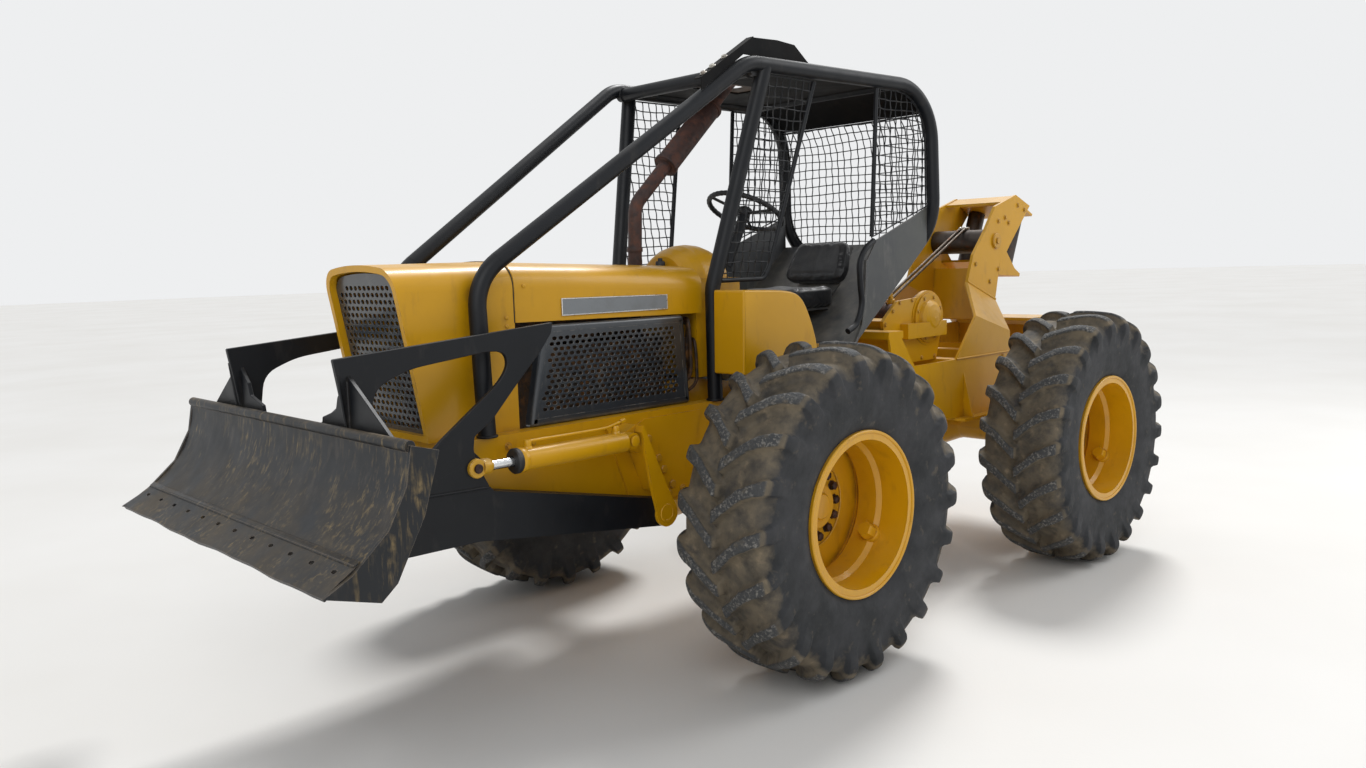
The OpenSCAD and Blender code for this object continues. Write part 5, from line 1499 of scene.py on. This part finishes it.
@dataclass
class Bonnet:
    """Hood seam, blank badge plates, screws, the engine bay's pipes, the tanks and the shell's edges."""

    hood_corner: float = 0.100
    hood_top: float = 0.704
    crown_drop: float = 0.0118
    badge: Pairs = ((232, 458), (856, 462), (856, 538), (232, 528))
    badge_edge: Pairs = ((0.0005, -0.001), (0, 0.003), (0.001, 0.0042), (0.004, 0.0042), (0.0055, 0.0015),
                         (0.0056, -0.001))
    pipes: tuple[tuple[float, float, float, float], ...] = (
        (92, 226, 392, 40), (62, 244, 400, 60), (34, 214, 380, 90), (14, 236, 300, 20))
    filler: Pairs = ((0, -0.02), (0.024, -0.02), (0.024, 0.012), (0.020, 0.019), (0.012, 0.019),
                     (0.012, 0.030), (0.009, 0.034), (0, 0.034))
    filter_can: Pairs = ((0, 0), (0.032, 0), (0.032, 0.11), (0.027, 0.118), (0, 0.118))
    screw: Pairs = ((0, -0.001), (0.009, -0.001), (0.009, 0.003), (0.006, 0.0058), (0, 0.0064))
    screw_at: Pairs = ((1048, 598), (1140, 470), (1140, 435))
    hood_half: float = 287.0
    tank: Pairs = ((34, 140), (24, 539), (-300, 526), (-400, 490), (-467, 377),
                                             (-519, 235), (-500, 150), (-137, 130))
    tank_bends: tuple[float, ...] = (10, 14, 150, 60, 80, 80, 30, 20)
    tank_inner: float = 396.0
    tank_wide: float = 0.194
    wing: Pairs = ((-1076, 757), (-1000, 712), (-952, 640), (-955, 530), (-965, 420), (-920, 325),
                   (-840, 285))
    wing_half: float = 530.0

    def build_badges(self) -> None:
        """A bare metal frame with a sunk grey field on each side of the hood."""
        for side in Side:
            s = side.value
            outline = (MM * np.array(self.badge) * [-s, 1])[::-s]
            origin = FRONT_DATUM + np.array([0, s * MM * (self.hood_half + 3), 0])
            outline = np.concatenate([even(np.stack([a, b]), 8)[:-1] for a, b in
                                      zip(outline, np.roll(outline, -1, 0))])
            Form().skin(slab(outline, origin, -s * X, Z, self.badge_edge), wrap=True).piece(
                f"badge_frame_{side.word}", BADGE_FRAME, "front_body", 0.5)
            Form().skin(slab(outline, origin, -s * X, Z, [(0.005, -0.0008), (0.005, 0.0018)])).piece(
                f"badge_field_{side.word}", BADGE_FIELD, "front_body", 0.5)

    def build_bay(self) -> None:
        """Pipes between the engine and the cowl on both sides, and a cap behind the hood."""
        pipes = Form()
        for s in (1, -1):
            for n, (x, y, top, low) in enumerate(self.pipes):
                path = [front(x - 40, s * (y - 60), top), front(x - 8, s * y, top - 20),
                        front(x + 12 * (-1) ** n, s * (y + 6), (top + low) / 2), front(x - 5, s * y, low + 60),
                        front(x + 45, s * (y - 50), low)]
                pipes.skin(swept(smooth_path(path, 36), 0.008 + 0.002 * (n % 3), 12))
            pipes.skin(turned(self.filter_can, front(50, s * 190, 190), Z, 28))
        pipes.piece("engine_bay_pipes", ENGINE, "front_body")
        cap = Form().skin(turned(self.filler, front(28, 30, 664), Z, 24))
        cap.piece("filler_plug", PLASTIC, "front_body")

    def build_tanks(self) -> None:
        """Tanks beside the operator, whose edges are rolled and whose rear top corner is one round."""
        t = np.linspace(0, np.pi / 2, 5)
        roll = [(0.011 * (1 - math.cos(a)), self.tank_wide - 0.011 * (1 - math.sin(a))) for a in t]
        for side in Side:
            s = side.value
            flat = anticlockwise(MM * np.array(self.tank) * [-s, 1], MM * np.array(self.tank_bends))
            tank = slab(flat, front(0, s * self.tank_inner, 0), -s * X, Z,
                        [(0.002, 0.0), (0.0, 0.002), *roll])
            Form().skin(tank, flat=True).piece(f"side_tank_{side.word}", YELLOW, "front_body", 0.5,
                                               ["side_tanks"])

    def build_wings(self) -> None:
        """Rolled edge down the front of each wing of the rear shell, in black enamel as painted shade on the
        wing's inward curve.
        """
        form = Form()
        for s in (1, -1):
            edge = [front(x, s * self.wing_half, z) for x, z in self.wing]
            form.skin(swept(smooth_path(edge, 48), 0.0165, 14))
        # Painted shade: the roll is black where the wing curves inwards into shade.
        form.piece("wing_edge_shade_roll", BLACK, "front_body")

    def build_screws(self) -> None:
        """Round heads along the screens' rims and the hood's lower edge."""
        form = Form()
        for s in (1, -1):
            for x, z in self.screw_at:
                form.skin(turned(self.screw, front(x, s * self.hood_half, z), s * Y, 18))
        form.piece("bonnet_screws", YELLOW, "front_body")

    def build_seam(self) -> None:
        """A dark strip in the seam, painted shadow of the gap there, and a rolled lip on the hood, along the
        section's sides, corners and crown.
        """
        a = np.radians(np.linspace(0, 80, 10))
        half, corner, height = MM * self.hood_half, self.hood_corner, self.hood_top
        side = np.stack([half - corner + corner * np.cos(a),
                         height - self.crown_drop - corner + corner * np.sin(a)], -1)
        y = np.linspace(side[-1, 0] - 0.02, 0, 8)
        top = np.stack([y, height - y**2 / 3.0], -1)
        line = np.concatenate([[[half, 0.448]], side, top])
        line = np.concatenate([line, line[-2::-1] * [-1, 1]])
        path = FRONT_DATUM + np.column_stack([np.full(len(line), 1.0997), line])
        # Painted shadow: the dark plastic strip stands for the shade in the gap between the hood and the
        # grille housing.
        Form().skin(swept(path, 0.0026, 8)).piece("hood_seam_shadow_strip", PLASTIC, "front_body")
        path[:, 0] -= 0.0055
        Form().skin(swept(path, 0.0036, 10)).piece("hood_lip", YELLOW, "front_body")

    def build(self) -> None:
        """Seam, tanks, wing edges, badges, bay and screws."""
        self.build_seam()
        self.build_tanks()
        self.build_wings()
        self.build_badges()
        self.build_bay()
        self.build_screws()


@dataclass
class Controls:
    """Steering wheel cover and pedals of the operator's station."""

    wheel_centre: Pair = (-640.0, 935.0)
    tilt: float = 28.0
    wheel_radius: float = 0.205
    cap: Pairs = ((0, 0.008), (0.036, 0.008), (0.036, 0.016), (0.024, 0.024), (0, 0.027))
    pedal_stem: Pairs = ((-340, 140), (-410, 200), (-450, 240))

    def build(self) -> None:
        """A finger grip round the wheel's rim, its cap, and two pedals."""
        t = math.radians(self.tilt)
        axis = np.array([-math.sin(t), 0, math.cos(t)])
        centre = front(self.wheel_centre[0], 0, self.wheel_centre[1])
        grip = Form()
        a = round_angles(160)
        side = np.cross(axis, Y)
        ring = centre + self.wheel_radius * (np.cos(a)[:, None] * side + np.sin(a)[:, None] * Y)
        grip.skin(swept(ring, 0.0138 + 0.0008 * np.cos(40 * a), 14, True), wrap=True)
        grip.skin(turned(self.cap, centre, axis, 32))
        grip.piece("steering_wheel_grip", PLASTIC, "steering_wheel_body")
        pedals = Form()
        for y in (-120, 120):
            pedals.skin(swept(smooth_path([front(x, y, z) for x, z in self.pedal_stem], 12), 0.009, 10))
            pedals.skin(slab(rounded(0.075, 0.10, 0.012), front(-458, y, 247), Y,
                             unit(np.array([-0.5, 0, 0.85])), edged(0.010, 0.002)))
        pedals.piece("pedals", BLACK, "front_body")


# ---------------------------------------------------------------- blade and cylinders


@dataclass
class BladeGear:
    """Cutting edge, brush guards, weld beads, the lift cylinders' fittings and the brackets' bolts."""

    lift_rear: Point = (652.0, 478.0, -92.0)
    lift_eye: Point = (1450.0, 478.0, -87.0)
    barrel_len: float = 0.602
    barrel_r: float = 0.045
    blade_half: float = 0.948
    slots: int = 12
    edge_width: float = 0.1452
    toe: Point = (2307, 0, -295)
    frame_side: float = 358.0
    arm_side: float = 486.0
    welds: tuple[tuple[float, ...], ...] = (
        (1962, 106, 1985, 321, 0.005), (1400, -170, 1960, -152, 0.005), (1962, -150, 1985, -40, 0.006))
    port: Pairs = ((0, -0.004), (0.021, -0.004), (0.019, 0.005), (0.016, 0.008), (0.016, 0.026),
                   (0.012, 0.032), (0, 0.033))
    port_at: Pair = (0.085, 0.548)
    nut: Pairs = ((0, -0.012), (0.0105, -0.012), (0.0105, 0.014), (0, 0.014))
    gland: Pairs = ((0.0215, -0.004), (0.050, -0.004), (0.0515, -0.001), (0.0515, 0.014), (0.047, 0.020),
                    (0.030, 0.021), (0.0215, 0.021))
    sleeve: Pairs = ((0.017, -0.0235), (0.035, -0.0235), (0.038, -0.0205), (0.038, 0.0205), (0.035, 0.0235),
                     (0.017, 0.0235))
    neck: Pairs = ((0.0195, 0.028), (0.0315, 0.028), (0.0315, 0.058), (0.026, 0.070), (0.0215, 0.074),
                   (0.0195, 0.074))
    bracket_bolts: Pairs = ((450, -124), (392, -222), (360, -280), (308, -358))
    foot_bolts: Pairs = ((240, -390), (330, -395))
    side_bolts: Pairs = ((1460, -40), (1460, -110), (1210, -50), (1090, -50), (-60, -40), (-200, -40),
                         (-330, -60), (-330, -130))
    arm_pin: Point = (475, 503, -445)
    lift_pin: Point = (652, 506, -92)
    plate: Pairs = (
        (1961.5, 106), (1961.5, 125), (1966, 160), (1980, 267), (1998, 381), (1052, 451), (1061, 409),
        (1119, 337), (1229, 229), (1361, 92), (1447, 36), (1454, -10), (1449, -58), (1390, -169.6),
        (1800, -155.9), (1619, 22), (1320, 234), (1276, 297), (1292, 351), (1372, 358), (1502, 343),
        (1712, 320), (1853, 262), (1876, 106))
    opening: tuple[int, int] = (15, 23)
    opening_bend: float = 0.06
    cheek: Pairs = ((1400, -169.3), (1400, -60), (1430, -30), (1480, -30), (1520, -70), (1530, -165))
    cross: Pairs = ((465, 300), (485, 320), (790, 116), (260, 116), (270, 158), (380, 190), (400, 240))

    def build_edge(self) -> None:
        """The edge plate with its slots and worn toe, the strip over its seam, and weld beads."""
        slope, out = np.array([-0.8437, 0, 0.537]), np.array([0.537, 0, 0.8437])
        toe = front(*self.toe)
        pitch = 2 * self.blade_half / self.slots

        def held(flat: np.ndarray) -> np.ndarray:
            """Points inside the plate, whose toe is worn in shallow waves."""
            u = np.clip(flat[..., 0], -self.blade_half, self.blade_half)
            worn = 0.004 + 0.003 * np.sin(u * 7.0) + 0.002 * np.sin(u * 19.0)
            return np.stack([u, np.clip(flat[..., 1], worn, self.edge_width)], -1)

        form = Form()
        Perforated((-self.blade_half + pitch / 2, 0.098), (pitch, 0.1968), (0.032, 0.015), (self.slots, 1),
                   0.015, held, lambda c: np.ones(len(c), bool), bevel=0.0015).build(
            form, lambda p: toe + p[:, :1] * Y + p[:, 1:2] * slope + (p[:, 2:] + 0.001) * out, False)
        form.piece("cutting_edge_plate", BLADE, "blade", 0.5, ["cutting_edge"])
        seam = Form()
        middle = toe + 0.149 * slope
        seam.skin(slab(rounded(2 * self.blade_half - 0.004, 0.022, 0.004), middle, Y, slope,
                       edged(0.006, 0.002, 0.004)))
        below = middle - 0.012 * slope
        add_weld(seam, np.stack([below - 0.94 * Y, below + 0.94 * Y]) + 0.001 * out, 0.0042)
        seam.piece("cutting_edge_seam", BLADE, "blade", 0.8)
        beads = Form()
        for s in (1, -1):
            for x0, z0, x1, z1, radius in self.welds:
                y = s * self.arm_side
                add_weld(beads, np.stack([front(x0, y, z0), front(x1, y, z1)]), radius)
        beads.piece("blade_welds", BLACK, "blade", 1.0)

    def build_guards(self) -> None:
        """Bevelled plates over the arms with round openings, their cheeks and their cross plates."""
        bends = np.full(len(self.plate), 0.008)
        bends[slice(*self.opening)] = self.opening_bend
        for side in Side:
            s = side.value
            form = Form()
            for shape, reach, y0, thick in ((self.plate, bends, 465, 0.020), (self.cheek, 0.006, 425, 0.020)):
                flat = anticlockwise(MM * np.array(shape) * [-s, 1], reach)
                form.skin(slab(flat, front(0, s * y0, 0), -s * X, Z, edged(thick, 0.002)), flat=True)
            flat = anticlockwise(MM * np.array(self.cross) * [s, 1], 0.004)
            form.skin(slab(flat, front(1935, 0, 0), Y, Z, edged(0.016, 0.002)), flat=True)
            y = s * self.arm_side
            add_weld(form, np.stack([front(1952, y, 130), front(1952, y, 300)]), 0.005)
            form.piece(f"brush_guard_{side.word}", BLACK, "blade", 0.5, ["brush_guards"])

    def build_cylinders(self) -> None:
        """On each lift cylinder: a gland ring, two ports, the pipe between them, the rod's eye and pin."""
        x0, y0, z0 = self.lift_rear
        tilt = math.atan2(self.lift_eye[2] - z0, self.lift_eye[0] - x0)
        along = np.array([math.cos(tilt), 0, math.sin(tilt)])
        up = np.array([-math.sin(tilt), 0, math.cos(tilt)])
        for side in Side:
            s = side.value
            origin = front(x0, s * y0, z0)
            form = Form()
            r = self.barrel_r
            collar = origin + (self.barrel_len - 0.034) * along
            form.skin(turned([(r - 0.004, 0), (r + 0.003, 0), (r + 0.005, 0.003), (r + 0.005, 0.026),
                              (r + 0.003, 0.030), (r - 0.004, 0.030)], collar, along, 40), wrap=True)
            for at in self.port_at:
                form.skin(turned(self.port, origin + at * along + r * up, up, 24))
            lift = r + 0.026
            path = filleted([origin + 0.548 * along + (r + 0.012) * up, origin + 0.548 * along + lift * up,
                             origin + 0.20 * along + lift * up, origin + 0.13 * along + (lift + 0.002) * up,
                             origin + 0.045 * along + (lift + 0.020) * up], 0.018)
            form.skin(swept(path, 0.0065, 12))
            form.skin(turned(self.nut, path[-1], unit(path[-1] - path[-2]), 6))
            form.piece(f"lift_cylinder_pipe_{side.word}", YELLOW, f"lift_barrel_{side.word}_body")
            ring = Form().skin(turned(self.gland, origin + self.barrel_len * along, along, 48), wrap=True)
            ring.piece(f"lift_gland_{side.word}", PLASTIC, f"lift_barrel_{side.word}_body")
            eye = front(*self.lift_eye) * [1, s, 1]
            sleeve = Form().skin(turned(self.sleeve, eye, Y, 48), wrap=True)
            sleeve.skin(turned(self.neck, eye, -along, 36), wrap=True)
            sleeve.piece(f"lift_rod_eye_{side.word}", YELLOW_WORN, f"lift_rod_{side.word}_body")
            pin = Form().skin(turned([(0, 0.024), (0.0185, 0.024), (0.0185, 0.030), (0.0165, 0.033),
                                      (0, 0.033)], eye, s * Y, 28))
            pin.skin(turned([(0, 0.024), (0.0185, 0.024), (0.0185, 0.032), (0, 0.034)], eye, -s * Y, 28))
            pin.piece(f"lift_pin_{side.word}", FASTENER, f"lift_rod_{side.word}_body")

    def build_brackets(self) -> None:
        """Bolts down each lift bracket and along the frame, and the pins with their collars."""
        form, pins, ends = Form(), Form(), Form()
        for s in (1, -1):
            for places, y, size in ((self.bracket_bolts, self.frame_side, 0.020),
                                    (self.foot_bolts, self.frame_side + 8, 0.013),
                                    (self.side_bolts, self.frame_side, 0.012)):
                add_bolts(form, [front(x, s * y, z) for x, z in places], s * Y, size)
            arm, lift = (front(*pin) * [1, s, 1] for pin in (self.arm_pin, self.lift_pin))
            ends.skin(turned([(0, -0.002), (0.029, -0.002), (0.029, 0.003), (0.026, 0.005), (0, 0.005)],
                             arm, s * Y, 32))
            pins.skin(turned([(0.029, -0.002), (0.043, -0.002), (0.043, 0.005), (0.040, 0.008), (0.032, 0.008),
                              (0.029, 0.005)], arm, s * Y, 32), wrap=True)
            pins.skin(turned([(0, -0.002), (0.024, -0.002), (0.024, 0.004), (0.021, 0.006), (0, 0.006)],
                             lift, s * Y, 28))
        form.piece("frame_bolts", YELLOW_WORN, "front_body", 0.5)
        pins.piece("bracket_pin_caps", YELLOW, "front_body")
        ends.piece("arm_pin_ends", FASTENER, "front_body")

    def build(self) -> None:
        """Edge, cylinders and brackets."""
        self.build_edge()
        self.build_guards()
        self.build_cylinders()
        self.build_brackets()


# ---------------------------------------------------------------- winch, arch and exhaust


@dataclass
class RearGear:
    """Bolts, plugs and beads of the winch, the arch and the rear frame."""

    winch: Pair = (-764.0, 286.0)
    winch_half: float = 270.0
    winch_rim: Pairs = ((-840, 45), (-700, 45), (-560, 45), (-420, 45), (-335, 60), (-332, 150), (-320, 270),
                        (-400, 345), (-470, 392), (-600, 402), (-735, 408), (-835, 390), (-885, 330),
                        (-905, 270), (-892, 190))
    dome_circle: float = 131.0
    plug_foot: Pairs = ((0, -0.01), (0.024, -0.01), (0.024, 0.016), (0.016, 0.018), (0.016, 0.036), (0, 0.037))
    plug_head: Pairs = ((0, 0.034), (0.015, 0.034), (0.015, 0.050), (0.012, 0.053), (0, 0.053))
    retainer: Pairs = ((0, -0.002), (0.052, -0.002), (0.052, 0.010), (0.047, 0.015), (0.020, 0.015),
                       (0.020, 0.024), (0, 0.025))
    leg_bolts: Pairs = ((-1790, 905), (-1835, 870), (-1410, 600), (-1590, 480), (-1700, 560), (-1700, 880),
                        (-1960, 990), (-2050, 960))
    foot_bolts: Pairs = ((-1690, 26), (-1426, 0))
    welds: tuple[tuple[float, ...], ...] = ((431, -867, 26, -1525, 26), (241, -1313, 488, -1663, 358))
    muffler: tuple[Point, ...] = ((-130, -80, 1165.17), (-480, -80, 1491.03))

    def build_winch(self) -> None:
        """Bolts round each side plate and dome, and the filler plug on top."""
        form = Form()
        for s in (1, -1):
            add_bolts(form, [rear(x, s * (self.winch_half + 20), z) for x, z in self.winch_rim], s * Y,
                      0.010)
            ring = np.radians(np.arange(8) * 45 + 20)
            add_bolts(form, [rear(self.winch[0] + self.dome_circle * math.cos(t), s * (self.winch_half + 36),
                                  self.winch[1] + self.dome_circle * math.sin(t)) for t in ring], s * Y, 0.009)
        form.piece("winch_bolts", YELLOW_WORN, "rear_body", 0.5)
        plug = Form()
        for profile, segments in ((self.plug_foot, 24), (self.plug_head, 6)):
            plug.skin(turned(profile, rear(-450, 240, 398), unit(np.array([0.1, 0, 1.0])), segments))
        plug.piece("winch_filler_plug", YELLOW, "rear_body")

    def build_arch(self) -> None:
        """Retainers on the cross roller's ends, bolts on the legs, and beads along the foot plates."""
        caps, bolts, beads = Form(), Form(), Form()
        for s in (1, -1):
            caps.skin(turned(self.retainer, rear(-1667, s * 240, 749), s * Y, 36))
            add_bolts(bolts, [rear(x, s * 240, z) for x, z in self.leg_bolts], s * Y, 0.012)
            add_bolts(bolts, [rear(x, s * 430, z) for x, z in self.foot_bolts], s * Y, 0.013)
            for y, x0, z0, x1, z1 in self.welds:
                add_weld(beads, np.stack([rear(x0, s * y, z0), rear(x1, s * y, z1)]), 0.006)
        caps.piece("roller_retainers", YELLOW_WORN, "rear_body")
        bolts.piece("arch_bolts", YELLOW_WORN, "rear_body", 0.5)
        beads.piece("arch_welds", YELLOW, "rear_body", 1.0)

    def build_exhaust(self) -> None:
        """A clamp band round the pipe's foot and one at each end of the muffler."""
        form = Form()
        low, high = (front(*end) for end in self.muffler)
        along = unit(high - low)
        for spot, axis, r in ((front(97, -80, 730), Z, 0.035), (low, along, 0.060), (high, -along, 0.060)):
            form.skin(turned([(r - 0.002, 0.002), (r + 0.004, 0.002), (r + 0.005, 0.006), (r + 0.005, 0.020),
                              (r + 0.004, 0.024), (r - 0.002, 0.024)], spot, axis, 40), wrap=True)
        form.piece("exhaust_clamps", EXHAUST, "front_body")

    def build(self) -> None:
        """Winch, arch and exhaust."""
        self.build_winch()
        self.build_arch()
        self.build_exhaust()


# ---------------------------------------------------------------- order of work


def dress_nodes() -> None:
    """Give each carried-over CAD node its finish, in place of its plain material."""
    for name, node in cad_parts.items():
        material = NODE_FINISH[name].material()
        for entry in node.material_slots:
            entry.material = material
        if not node.material_slots:
            node.data.materials.append(material)


def main() -> None:
    """Build the studio, then each sub-assembly in order."""
    logging.basicConfig(level=logging.INFO, format="%(message)s")
    Studio().build()
    WinchLine().build()
    dress_nodes()
    for axle in ("front", "rear"):
        for side in Side:
            Wheel(axle, side).build()
    for group in (Guard(), Screens(), Seat(), Bonnet(), Controls(), BladeGear(), RearGear()):
        group.build()
        log.info("%s done", type(group).__name__)


if __name__ == "__main__":
    main()
